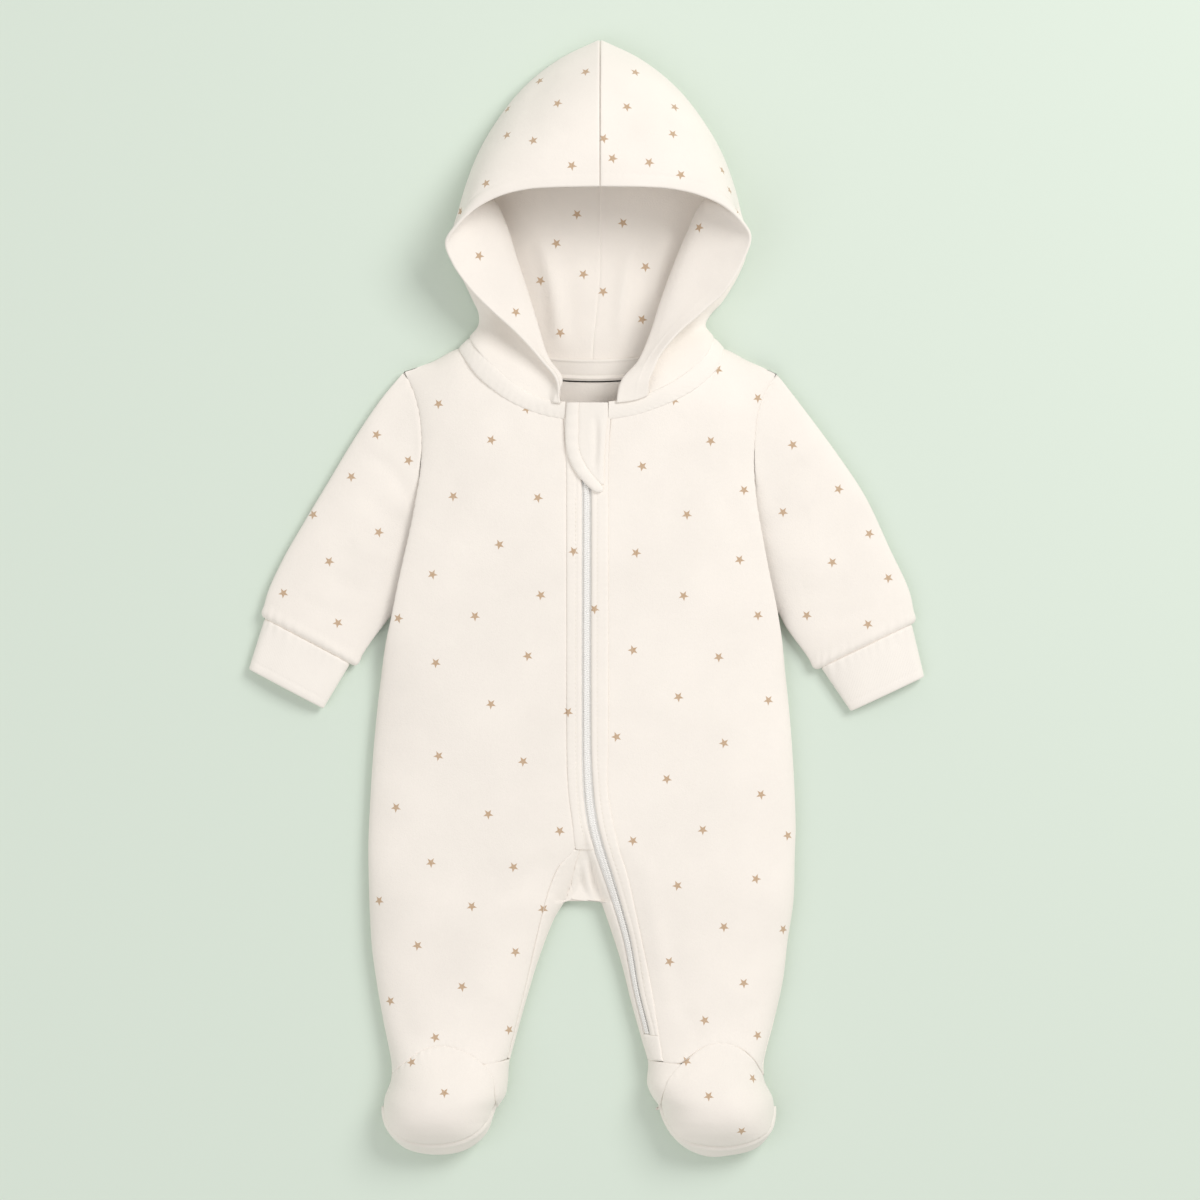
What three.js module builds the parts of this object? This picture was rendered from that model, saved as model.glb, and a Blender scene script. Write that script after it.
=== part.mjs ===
// A hooded footed baby sleepsuit laid flat on its back: every cut piece is a thin wall of cloth.
// Millimetres. +X is the viewer's right, +Y towards the hood, +Z up from the surface it lies on.
// "right" and "left" are the wearer's own, so the right half lies at negative X.
import * as THREE from "three";

// Driving dimensions
const CLOTH = 2; // wall of the fleece
const RIB_CLOTH = 2.6; // doubled cuff cloth
const HOOD_CLOTH = 2; // hood cloth
const SEAM_GAP = 0.4; // room between two pieces at a seam
const SEAM_Z = 6.1; // height of the side seams above the surface
const EDGE_ROLL = 7; // how far in from a side seam the back has come down to the surface
const TORSO_LOFT = 25; // height of the body over the chest
const SHOULDER_ROLL = 42; // how far below the shoulder line the front reaches its full height
const CROTCH_ROLL = 10; // the same above the crotch seam
const CROTCH = { x: -2.2, y: -198, half: 12 }; // middle of the crotch seam and half its width
const HOOD_CENTRE = 8.45; // the hood's centre seam lies this far to the side

const lerp = (a, b, t) => a + (b - a) * t;
const clamp = (x, low, high) => Math.min(Math.max(x, low), high);
const smooth = (from, to, x) => {
  const t = clamp((x - from) / (to - from), 0, 1);
  return t * t * (3 - 2 * t);
};

// A smooth value through rows of [where, value], where falling or rising steadily.
function through(rows) {
  const table = rows[0][0] <= rows[rows.length - 1][0] ? rows : [...rows].reverse();
  const slope = (i) => {
    const a = table[Math.max(i - 1, 0)];
    const b = table[Math.min(i + 1, table.length - 1)];
    return (b[1] - a[1]) / (b[0] - a[0]);
  };
  return (x) => {
    if (x <= table[0][0]) return table[0][1];
    if (x >= table[table.length - 1][0]) return table[table.length - 1][1];
    let i = 0;
    while (x > table[i + 1][0]) i += 1;
    const span = table[i + 1][0] - table[i][0];
    const t = (x - table[i][0]) / span;
    const sway = span * t * (1 - t) * ((1 - t) * slope(i) - t * slope(i + 1));
    return table[i][1] * (1 + 2 * t) * (1 - t) ** 2 + table[i + 1][1] * t * t * (3 - 2 * t) + sway;
  };
}

// A smooth curve through points in space.
const bend = (points) => new THREE.CatmullRomCurve3(points, false, "centripetal");

// A smooth plan line through [x, y] points, by its share of the length.
function line(points) {
  const curve = bend(points.map(([x, y]) => new THREE.Vector3(x, y, 0)));
  return (t) => curve.getPointAt(clamp(t, 0, 1));
}

// Body, leg and foot outline seen from above: y, then x of the wearer's right and left side.
const RIGHT_SIDE = through([
  [145, -118.6], [132, -112.5], [115.7, -108.5], [97, -107.2], [78, -108.5], [64, -110.8], [46.8, -113.9],
  [12, -121.7], [-13, -126.8], [-41.6, -132], [-93.6, -137.8], [-145.6, -141.1], [-171.6, -141.7],
  [-223.6, -139.8], [-249.6, -136.5], [-275.6, -132], [-302.9, -126.8], [-314, -127.2], [-326, -131.3],
  [-340, -132],
]);
const LEFT_SIDE = through([
  [143.7, 122.9], [128.7, 114.4], [115.7, 110.5], [100.1, 108.9], [84.5, 108.4], [62.4, 109.9],
  [46.1, 112.5], [15, 118.3], [-11.7, 123.9], [-41.6, 127.7], [-93.6, 132.6], [-145.6, 135.2],
  [-171.6, 134.6], [-197.6, 133.9], [-223.6, 130], [-249.6, 126.8], [-275.6, 120.9], [-302.9, 114.1],
  [-314, 115], [-326, 120.5], [-342, 121.5],
]);
const RIGHT_INSEAM = through([
  [-160, -3], [-190, -12.5], [-198, -15], [-210.6, -22.1], [-236.6, -31.9], [-262.6, -39.7],
  [-288.6, -46.8], [-303, -50.4], [-316, -51.4], [-324, -53], [-332, -58], [-340, -60.5],
]);
const LEFT_INSEAM = through([
  [-160, -1], [-190, 7.5], [-198, 9.4], [-210.6, 13.7], [-236.6, 22.1], [-262.6, 28.6],
  [-288.6, 35.8], [-303, 39.6], [-316, 39], [-324, 42], [-332, 47.5], [-342, 50],
]);
const SHOULDER = through([[-118.6, 145], [-100, 152.6], [-82, 161], [3, 170], [88, 161], [105, 152.5],
  [122.9, 143.7]]);

// Heights by y: the body's top, its edge over the sleeves, and the legs and feet.
const SIDE_Z = through([
  [145, SEAM_Z], [130, 11], [115, 13.5], [97, 14.5], [78, 15], [60, 16.5], [40, 17], [12, 16.5],
  [-13, 14.5], [-30, 11.5], [-45, 8.2], [-62, SEAM_Z],
]);
const TORSO_Z = through([[160, TORSO_LOFT], [50, TORSO_LOFT], [-60, TORSO_LOFT - 1],
  [-150, TORSO_LOFT - 2], [-200, TORSO_LOFT - 3]]);
const LEG_Z = through([
  [-150, 22], [-200, 22], [-250, 20.5], [-280, 21], [-292, 23.5], [-303, 29], [-316, 36], [-328, 39.5],
  [-338, 38.5], [-346, 34], [-352, 28], [-357, 22],
]);

const rounded = (t, power, share) => Math.max(1 - Math.abs(2 * t - 1) ** power, 0) ** share;
const roll = (distance, reach) => Math.sqrt(1 - (1 - clamp(distance / reach, 0, 1)) ** 2);

// Height of the front's upper face. Across, it is a dome between the two sides; down, the dome of the
// body turns into one for each leg, and it rolls down to the seams at the shoulders and the crotch.
function frontHeight(x, y) {
  const across = (x - RIGHT_SIDE(y)) / (LEFT_SIDE(y) - RIGHT_SIDE(y));
  const side = SIDE_Z(y);
  const soft = lerp(0.5, 0.62, smooth(-60, 20, y));
  const body = side + (TORSO_Z(y) - side) * rounded(clamp(across, 0, 1), 2.5, soft);
  const [low, high] = x < CROTCH.x ? [RIGHT_SIDE(y), RIGHT_INSEAM(y)] : [LEFT_INSEAM(y), LEFT_SIDE(y)];
  const leg = SEAM_Z + (LEG_Z(y) - SEAM_Z) * rounded(clamp((x - low) / (high - low), 0, 1), 2.5, 0.5);
  const open = lerp(body, leg, smooth(-145, CROTCH.y, y));
  const above = roll(SHOULDER(x) - y, SHOULDER_ROLL);
  const aside = Math.max(Math.abs(x - CROTCH.x) - CROTCH.half, 0);
  const fork = y > CROTCH.y ? roll(Math.hypot(aside, y - CROTCH.y), CROTCH_ROLL) : 1;
  return SEAM_Z + (open - SEAM_Z) * above * fork;
}

// The front's outward direction, from its slopes; level at a seam, where the wall stands upright.
function frontNormal(x, y) {
  const step = 0.4;
  const dx = (frontHeight(x + step, y) - frontHeight(x - step, y)) / (2 * step);
  const dy = (frontHeight(x, y + step) - frontHeight(x, y - step)) / (2 * step);
  return new THREE.Vector3(-dx, -dy, 1).normalize();
}

const onFront = (x, y, lift) =>
  new THREE.Vector3(x, y, frontHeight(x, y)).addScaledVector(frontNormal(x, y), lift);

// Height of the back's lower face: on the surface, and rolled up to the seams at its edges.
function backHeight(x, y) {
  const rolled = 1 - smooth(-62, -30, y);
  const side = Math.min(x - RIGHT_SIDE(y), LEFT_SIDE(y) - x);
  const aside = Math.max(Math.abs(x - CROTCH.x) - CROTCH.half, 0);
  const inner = x < CROTCH.x ? RIGHT_INSEAM(y) - x : x - LEFT_INSEAM(y);
  const fork = y > CROTCH.y ? Math.hypot(aside, y - CROTCH.y) : inner;
  const above = (SHOULDER(x) - y) * 1.05;
  const nearest = Math.min(rolled > 0.01 ? side / rolled : EDGE_ROLL, fork, above);
  const rise = rolled > 0.01 || nearest === fork ? 1 : 0;
  return (SEAM_Z - SEAM_GAP) * rise * (1 - roll(nearest, EDGE_ROLL));
}

// The cells of a grid of points, row after row; a closed grid joins its last column to its first.
function gridCells(rows, columns, closed = false) {
  const cells = [];
  for (let r = 0; r + 1 < rows; r += 1) {
    for (let c = 0; c + (closed ? 0 : 1) < columns; c += 1) {
      const next = (c + 1) % columns;
      cells.push([r * columns + c, r * columns + next, (r + 1) * columns + next, (r + 1) * columns + c]);
    }
  }
  return cells;
}

// The outward direction at each point of a sheet: the mean of its cells' directions.
function sheetNormals(points, cells) {
  const normals = points.map(() => new THREE.Vector3());
  for (const cell of cells) {
    const [a, b, c, d] = cell.map((i) => points[i]);
    const facing = new THREE.Vector3().subVectors(c, a).cross(new THREE.Vector3().subVectors(d, b));
    cell.forEach((i) => normals[i].add(facing));
  }
  return normals.map((normal) => normal.normalize());
}

// A closed wall between two faces of the same cells, with a rim where a cell has no neighbour.
function wall(outer, inner, cells) {
  const count = outer.length;
  const index = [];
  const rim = new Map();
  for (const cell of cells) {
    const [a, b, c, d] = cell;
    index.push(a, b, c, a, c, d);
    index.push(a + count, c + count, b + count, a + count, d + count, c + count);
    cell.forEach((from, k) => {
      const to = cell[(k + 1) % cell.length];
      if (!rim.delete(`${to},${from}`)) rim.set(`${from},${to}`, [from, to]);
    });
  }
  for (const [from, to] of rim.values()) {
    index.push(to, from, from + count, to, from + count, to + count);
  }
  const corners = [...outer, ...inner];
  let volume = 0;
  for (let i = 0; i < index.length; i += 3) {
    const [a, b, c] = [corners[index[i]], corners[index[i + 1]], corners[index[i + 2]]];
    volume += a.dot(new THREE.Vector3().crossVectors(b, c));
  }
  if (volume < 0) index.reverse();
  const geometry = new THREE.BufferGeometry();
  const flat = corners.flatMap((p) => p.toArray());
  geometry.setAttribute("position", new THREE.Float32BufferAttribute(flat, 3));
  geometry.setIndex(index);
  geometry.computeVertexNormals();
  return geometry;
}

// A wall from one face, its other face a cloth's thickness to the side that "inward" gives, 1 or -1.
function thickened(points, cells, thickness, inward = 1) {
  const normals = sheetNormals(points, cells);
  const other = points.map((p, i) => p.clone().addScaledVector(normals[i], -inward * thickness));
  return wall(points, other, cells);
}

// A piece that lies on the front: a plan map of u across and v down, its faces lifted off the front.
function frontPiece(plan, acrossSteps, downSteps, topLift = 0, thickness = CLOTH) {
  const outer = [];
  const inner = [];
  for (const v of downSteps) {
    for (const u of acrossSteps) {
      const { x, y, upright } = plan(u, v);
      const top = onFront(x, y, topLift);
      const facing = frontNormal(x, y);
      if (upright) {
        facing.set(upright.x, upright.y, 0).normalize();
        top.set(x, y, frontHeight(x, y)).addScaledVector(facing, topLift);
      }
      const under = top.clone().addScaledVector(facing, -thickness);
      outer.push(top.setZ(Math.max(top.z, SEAM_Z)));
      inner.push(under.setZ(Math.max(under.z, SEAM_Z)));
    }
  }
  return wall(outer, inner, gridCells(downSteps.length, acrossSteps.length));
}

const steps = (count) => Array.from({ length: count + 1 }, (_, i) => i / count);

// Materials
const fleece = new THREE.MeshStandardMaterial({ color: 0xf8f3eb, roughness: 0.92, metalness: 0 });
const ribbing = new THREE.MeshStandardMaterial({ color: 0xf9f4ec, roughness: 0.9, metalness: 0 });
const zipTape = new THREE.MeshStandardMaterial({ color: 0xfbfaf7, roughness: 0.8, metalness: 0 });
const zipTeeth = new THREE.MeshStandardMaterial({ color: 0xfdfdfc, roughness: 0.45, metalness: 0 });

const sleepsuit = new THREE.Group();
function add(name, geometry, material = fleece) {
  const mesh = new THREE.Mesh(geometry, material);
  mesh.name = name;
  sleepsuit.add(mesh);
}

// Fronts. The neck seam and the shoulder seam are their top, the side seam and the armhole their outer
// edge, the zip placket and the inseam their inner edge, and the toe-cap seam their bottom.
const NECK_CORNER = 0.7; // share of a front's width that is neckline, the rest shoulder
const FRONT_ACROSS = [0, 0.12, 0.26, 0.4, 0.55, NECK_CORNER, 0.8, 0.88, 0.94, 0.975, 0.993, 1];
const FRONT_DOWN = [0, 0.004, 0.015, 0.035, 0.065, 0.1, 0.14, 0.18, 0.22, 0.27, 0.32, 0.37, 0.42, 0.48,
  0.54, 0.6, 0.65, 0.7, 0.75, 0.8, 0.85, 0.9, 0.95, 1];
const NECK_REACH = 0.42; // share of a front's height over which it eases onto the neckline
const TOE_REACH = 0.3; // the same onto the toe-cap seam
const RIGHT_FRONT = {
  side: RIGHT_SIDE,
  top: 145,
  bottom: -309,
  inner: through([[116.4, -15.6], [94, -13.8], [49, -13.4], [-106.6, -13.2], [-125.5, -12.2],
    [-146.2, -9.6], [-163, -7.6], [-169, -12], [-175.5, -18.6], [-189.2, -24.5], [-205.4, -29],
    [-252.9, -40], [-299.5, -51.2]]),
  innerTop: 116.4,
  innerBottom: -299.5,
  neck: line([[-15.6, 115.2], [-28.4, 118.2], [-46.3, 125.1], [-57.2, 132.1], [-69.2, 142],
    [-77.2, 153], [-81.6, 161]]),
  toe: line([[-51.2, -299.5], [-66, -301.5], [-74.8, -296], [-90.6, -290.2], [-105, -292.5],
    [-119, -301.5], [-126.6, -309]]),
};
const LEFT_FRONT = {
  side: LEFT_SIDE,
  top: 143.7,
  bottom: -310,
  inner: through([[116.4, 15.9], [94, 14.2], [49, 14], [-93.6, 14], [-125.5, 13.6], [-159.2, 19.6],
    [-177.5, 25.4], [-208, 32.6], [-247, 40.4], [-284.7, 46.4], [-301, 49.2]]),
  innerTop: 116.4,
  innerBottom: -301,
  neck: line([[15.9, 115.2], [31.9, 118.2], [43.7, 122.2], [57.7, 128.1], [71.5, 136.1], [84.5, 147],
    [88, 160.6]]),
  toe: line([[49.2, -301], [60, -300.5], [66, -296.5], [76, -290.5], [87, -288.6], [99.5, -291.9],
    [109, -300], [114.6, -310]]),
};

function frontPlan(front) {
  const shoulder = (t) => {
    const x = lerp(front.neck(1).x, front.side(front.top), t);
    return { x, y: SHOULDER(x) };
  };
  const onShoulder = (u) => shoulder((u - NECK_CORNER) / (1 - NECK_CORNER));
  const top = (u) => (u <= NECK_CORNER ? front.neck(u / NECK_CORNER) : onShoulder(u));
  const corner = { x: front.inner(front.innerTop), y: front.innerTop };
  const foot = { x: front.inner(front.innerBottom), y: front.innerBottom };
  return (u, v) => {
    const innerY = lerp(front.innerTop, front.innerBottom, v);
    const outerY = lerp(front.top, front.bottom, v);
    let x = lerp(front.inner(innerY), front.side(outerY), u);
    let y = lerp(innerY, outerY, u);
    const nearTop = clamp(1 - v / NECK_REACH, 0, 1) ** 2;
    const nearToe = clamp(1 - (1 - v) / TOE_REACH, 0, 1) ** 2;
    const t = top(u);
    const b = front.toe(u);
    x += nearTop * (t.x - lerp(corner.x, front.side(front.top), u));
    x += nearToe * (b.x - lerp(foot.x, front.side(front.bottom), u));
    y += nearTop * (t.y - lerp(corner.y, front.top, u));
    y += nearToe * (b.y - lerp(foot.y, front.bottom, u));
    const sideways = Math.sign(front.side(0));
    if (u === 1) return { x, y, upright: { x: sideways, y: v === 0 ? 0.8 : 0 } };
    if (v === 0 && u > NECK_CORNER) return { x, y, upright: { x: sideways * 0.35, y: 1 } };
    return { x, y };
  };
}

add("front_right", frontPiece(frontPlan(RIGHT_FRONT), FRONT_ACROSS, FRONT_DOWN));
add("front_left", frontPiece(frontPlan(LEFT_FRONT), FRONT_ACROSS, FRONT_DOWN));

// The zip runs down the middle and on into the left leg. Rows by y: the right placket's outer edge, the
// zip opening's two edges, and the left placket's outer edge.
const ZIP_ROWS = [
  { y: 121, rightOuter: -15.2, openRight: -3.6, openLeft: 3.2, leftOuter: 15.5 },
  { y: 94, rightOuter: -13.4, openRight: -3.6, openLeft: 3.2, leftOuter: 13.8 },
  { y: 49, rightOuter: -13, openRight: -3.6, openLeft: 3.2, leftOuter: 13.6 },
  { y: -94, rightOuter: -12.8, openRight: -3.6, openLeft: 3.2, leftOuter: 13.6 },
  { y: -125, rightOuter: -11.8, openRight: -2.9, openLeft: 4.6, leftOuter: 13.2 },
  { y: -146, rightOuter: -9.2, openRight: -0.4, openLeft: 7.4, leftOuter: 16.6 },
  { y: -164, rightOuter: -6.8, openRight: 4.3, openLeft: 12, leftOuter: 20.8 },
  { y: -180, rightOuter: 0.5, openRight: 9.6, openLeft: 17, leftOuter: 25.8 },
  { y: -203, rightOuter: 11, openRight: 17.4, openLeft: 23.6, leftOuter: 31 },
  { y: -224, rightOuter: 18, openRight: 23.4, openLeft: 29, leftOuter: 35.4 },
  { y: -256, rightOuter: 26.5, openRight: 29.6, openLeft: 34.4, leftOuter: 41.8 },
  { y: -283, rightOuter: 33.5, openRight: 36.4, openLeft: 41, leftOuter: 46 },
  { y: -300, rightOuter: 37.5, openRight: 39.6, openLeft: 43.6, leftOuter: 48.7 },
];
const zipEdge = (key) => through(ZIP_ROWS.map((row) => [row.y, row[key]]));
const RIGHT_OUTER = zipEdge("rightOuter");
const OPEN_RIGHT = zipEdge("openRight");
const OPEN_LEFT = zipEdge("openLeft");
const LEFT_OUTER = zipEdge("leftOuter");
const ZIP_TOP = 119; // the zip and its plackets stop under the neckband
const ZIP_END = -284;
const PLACKET_LIFT = 0.7; // the plackets stand this far above the fronts
const TAPE_THICKNESS = 0.7;
const COIL_HEIGHT = 1.5;
const TAPE_LIFT = -CLOTH - SEAM_GAP; // upper face of the tape, below the fronts' under face

// A strip down the front between two edges given as x by y.
function strip(leftEdge, rightEdge, top, bottom, rows, columns, lift, thickness) {
  const plan = (u, v) => {
    const y = lerp(top, bottom, v);
    return { x: lerp(leftEdge(y), rightEdge(y), u), y };
  };
  return frontPiece(plan, steps(columns), steps(rows), lift, thickness);
}

const RIGHT_PLACKET_END = -163.4;
add("placket_right", strip(RIGHT_OUTER, OPEN_RIGHT, ZIP_TOP - 4, RIGHT_PLACKET_END, 18, 2, PLACKET_LIFT,
  CLOTH));
add("placket_left", strip(OPEN_LEFT, LEFT_OUTER, ZIP_TOP - 4, ZIP_END, 24, 2, PLACKET_LIFT, CLOTH));
add("zip_end_patch", strip(OPEN_RIGHT, LEFT_OUTER, ZIP_END - SEAM_GAP, -300.4, 3, 3, PLACKET_LIFT, CLOTH));

const TAPE_REACH = 5; // how far the tape runs on under each placket
const zipMiddle = (y) => (OPEN_RIGHT(y) + OPEN_LEFT(y)) / 2;
const COIL_SHARE = 0.28; // half the coil's width, as a share of the opening
const coilHalf = (y) => (OPEN_LEFT(y) - OPEN_RIGHT(y)) * COIL_SHARE;
const TAPE_TOP = ZIP_TOP - 5;
const tapeRight = (y) => OPEN_RIGHT(y) - lerp(-0.5, TAPE_REACH, smooth(-175, -150, y));
const tapeLeft = (y) => OPEN_LEFT(y) + TAPE_REACH * smooth(-340, -160, y);
const besideMiddle = (shift) => (y) => zipMiddle(y) + shift;
add("zip_tape_right", strip(tapeRight, besideMiddle(-0.25), TAPE_TOP, ZIP_END, 20, 2, TAPE_LIFT,
  TAPE_THICKNESS), zipTape);
add("zip_tape_left", strip(besideMiddle(0.25), tapeLeft, TAPE_TOP, ZIP_END, 20, 2, TAPE_LIFT,
  TAPE_THICKNESS), zipTape);
const SLIDER = { top: 92, length: 9, half: 3, height: 2.2 };
const SLIDER_END = SLIDER.top - SLIDER.length;
const ON_TAPE = TAPE_LIFT + SEAM_GAP;
const coilRight = (y) => zipMiddle(y) - coilHalf(y);
const coilLeft = (y) => zipMiddle(y) + coilHalf(y);
add("zip_coil", strip(coilRight, coilLeft, SLIDER_END - 0.5, ZIP_END + 1, 22, 2, ON_TAPE + COIL_HEIGHT,
  COIL_HEIGHT), zipTeeth);
add("zip_slider", strip(besideMiddle(-SLIDER.half), besideMiddle(SLIDER.half), SLIDER.top, SLIDER_END, 3, 3,
  ON_TAPE + SLIDER.height, SLIDER.height), zipTeeth);

// Zip guard: a flap from the neckband over the top of the zip, rounded to a point at its lower end, with
// a bound edge round its outer side. Rows by y: the flap's outer edge, the binding's inner edge and the
// flap's inner side.
const GUARD_ROWS = [
  { y: 124.6, outer: -12.9, bound: -5.2, inner: 13.3 },
  { y: 117.5, outer: -13.4, bound: -5.6, inner: 13.4 },
  { y: 108, outer: -13.8, bound: -5.4, inner: 12.6 },
  { y: 96, outer: -13.2, bound: -4.6, inner: 11.4 },
  { y: 86, outer: -10.4, bound: -1.8, inner: 10.4 },
  { y: 78, outer: -6.6, bound: 2.6, inner: 9.8 },
  { y: 72, outer: -1.4, bound: 6.2, inner: 9.4 },
  { y: 67.6, outer: 4.4, bound: 8, inner: 9.2 },
];
const GUARD_LIFT = PLACKET_LIFT + SEAM_GAP;
const GUARD_CLOTH = 1.6;
const guardEdge = (key) => through(GUARD_ROWS.map((row) => [row.y, row[key]]));
const GUARD_TOP = GUARD_ROWS[0].y;
const GUARD_END = GUARD_ROWS[GUARD_ROWS.length - 1].y;
const guardOuter = guardEdge("outer");
const guardBound = guardEdge("bound");
const guardInner = guardEdge("inner");
add("zip_guard", strip((y) => guardBound(y) + SEAM_GAP, guardInner, GUARD_TOP, GUARD_END + 1.5, 8, 3,
  GUARD_LIFT + GUARD_CLOTH, GUARD_CLOTH));
add("zip_guard_binding", strip(guardOuter, guardBound, GUARD_TOP, GUARD_END, 10, 2,
  GUARD_LIFT + GUARD_CLOTH + 0.4, GUARD_CLOTH + 0.4));

// Crotch gusset, with its tail beside the zip in the left leg, and the strip along the right inseam.
const GUSSET_TOP = RIGHT_PLACKET_END - SEAM_GAP - 0.4;
const GUSSET_TAIL = -299.6;
const gussetDown = [0, 0.03, 0.07, 0.12, 0.17, 0.21, 0.235, 0.25, 0.2575, 0.32, 0.4, 0.5, 0.6, 0.7, 0.8,
  0.9, 1];
const RIGHT_FORK = through([[GUSSET_TOP, -7], [-169, -11.2], [-175.5, -17.6], [-189.2, -23.4],
  [-198, -26]]);
// Above the crotch seam it spans from the right front to the zip; below, from the left inseam to the zip.
add("crotch_gusset", frontPiece((u, v) => {
  const y = lerp(GUSSET_TOP, GUSSET_TAIL, v);
  const inLeg = smooth(-191, CROTCH.y, y);
  const outer = lerp(RIGHT_FORK(y) * 0.55 + 0.45 * LEFT_INSEAM(y), LEFT_INSEAM(y), inLeg);
  const x = lerp(outer, OPEN_RIGHT(y) - SEAM_GAP, u);
  return u === 0 && y < CROTCH.y - 6 ? { x, y, upright: { x: -1, y: 0 } } : { x, y };
}, [0, 0.08, 0.3, 0.65, 1], gussetDown));

const STRIP_TOP = RIGHT_PLACKET_END - SEAM_GAP - 0.9;
const RIGHT_SEAM = through([[STRIP_TOP, -8.2], [-168.6, -11.6], [-175.5, -17.8], [-189.2, -23.7],
  [-205.4, -28.2], [-252.9, -39.2], [-299, -50.4]]);
add("inseam_strip_right", frontPiece((u, v) => {
  const y = lerp(STRIP_TOP, -299.2, v);
  const inLeg = smooth(-191, CROTCH.y, y);
  const gussetSide = RIGHT_FORK(y) * 0.55 + 0.45 * LEFT_INSEAM(y) - SEAM_GAP - 0.2;
  const outer = lerp(gussetSide, RIGHT_INSEAM(y), inLeg);
  const x = lerp(RIGHT_SEAM(y), outer, u);
  return u === 1 && y < CROTCH.y - 6 ? { x, y, upright: { x: 1, y: 0 } } : { x, y };
}, [0, 0.4, 0.75, 0.94, 1], gussetDown));

// Back, in one piece with both legs: its lower face lies on the surface and rolls up at the seams.
const BACK_NECK = line([[-80.6, 159.6], [-62, 151], [-35, 143], [3.4, 140], [42, 143], [69, 151],
  [87, 159.6]]);
const SLEEVE_SIDE = {
  right: [[144.5, -117.6], [128, -108.8], [102, -106], [86, -104.5], [62, -100], [30, -88], [24, -84.5],
    [18, -91.5], [5, -105], [-13, -123.2], [-32, -129.2]],
  left: [[143.2, 121.8], [128, 112], [102, 108], [86, 106.5], [62, 101], [30, 89.5], [24, 86],
    [18, 92.5], [3.5, 106], [-12, 119.2], [-32, 125.4]],
};
const armhole = { right: through(SLEEVE_SIDE.right), left: through(SLEEVE_SIDE.left) };
const ARMHOLE_END = -32;
function backSide(side, y) {
  if (y > ARMHOLE_END) return armhole[side](y);
  const inset = SEAM_GAP * smooth(-60, -40, y);
  return side === "right" ? RIGHT_SIDE(y) + inset : LEFT_SIDE(y) - inset;
}
const ROLLED = [0, 0.35, 1.6, 4, EDGE_ROLL]; // distances from a rolled edge of the points across it
const BACK_FLAT = 3; // plain columns between the rolled edges of each half
const CROTCH_COLUMNS = 2;

// Positions across one half: rolled steps from each end and even steps between them.
function acrossHalf(from, to) {
  const inward = Math.sign(to - from);
  const start = from + inward * EDGE_ROLL;
  const end = to - inward * EDGE_ROLL;
  const middle = steps(BACK_FLAT).slice(1, -1).map((t) => lerp(start, end, t));
  return [...ROLLED.map((d) => from + inward * d), ...middle,
    ...[...ROLLED].reverse().map((d) => to - inward * d)];
}

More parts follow.
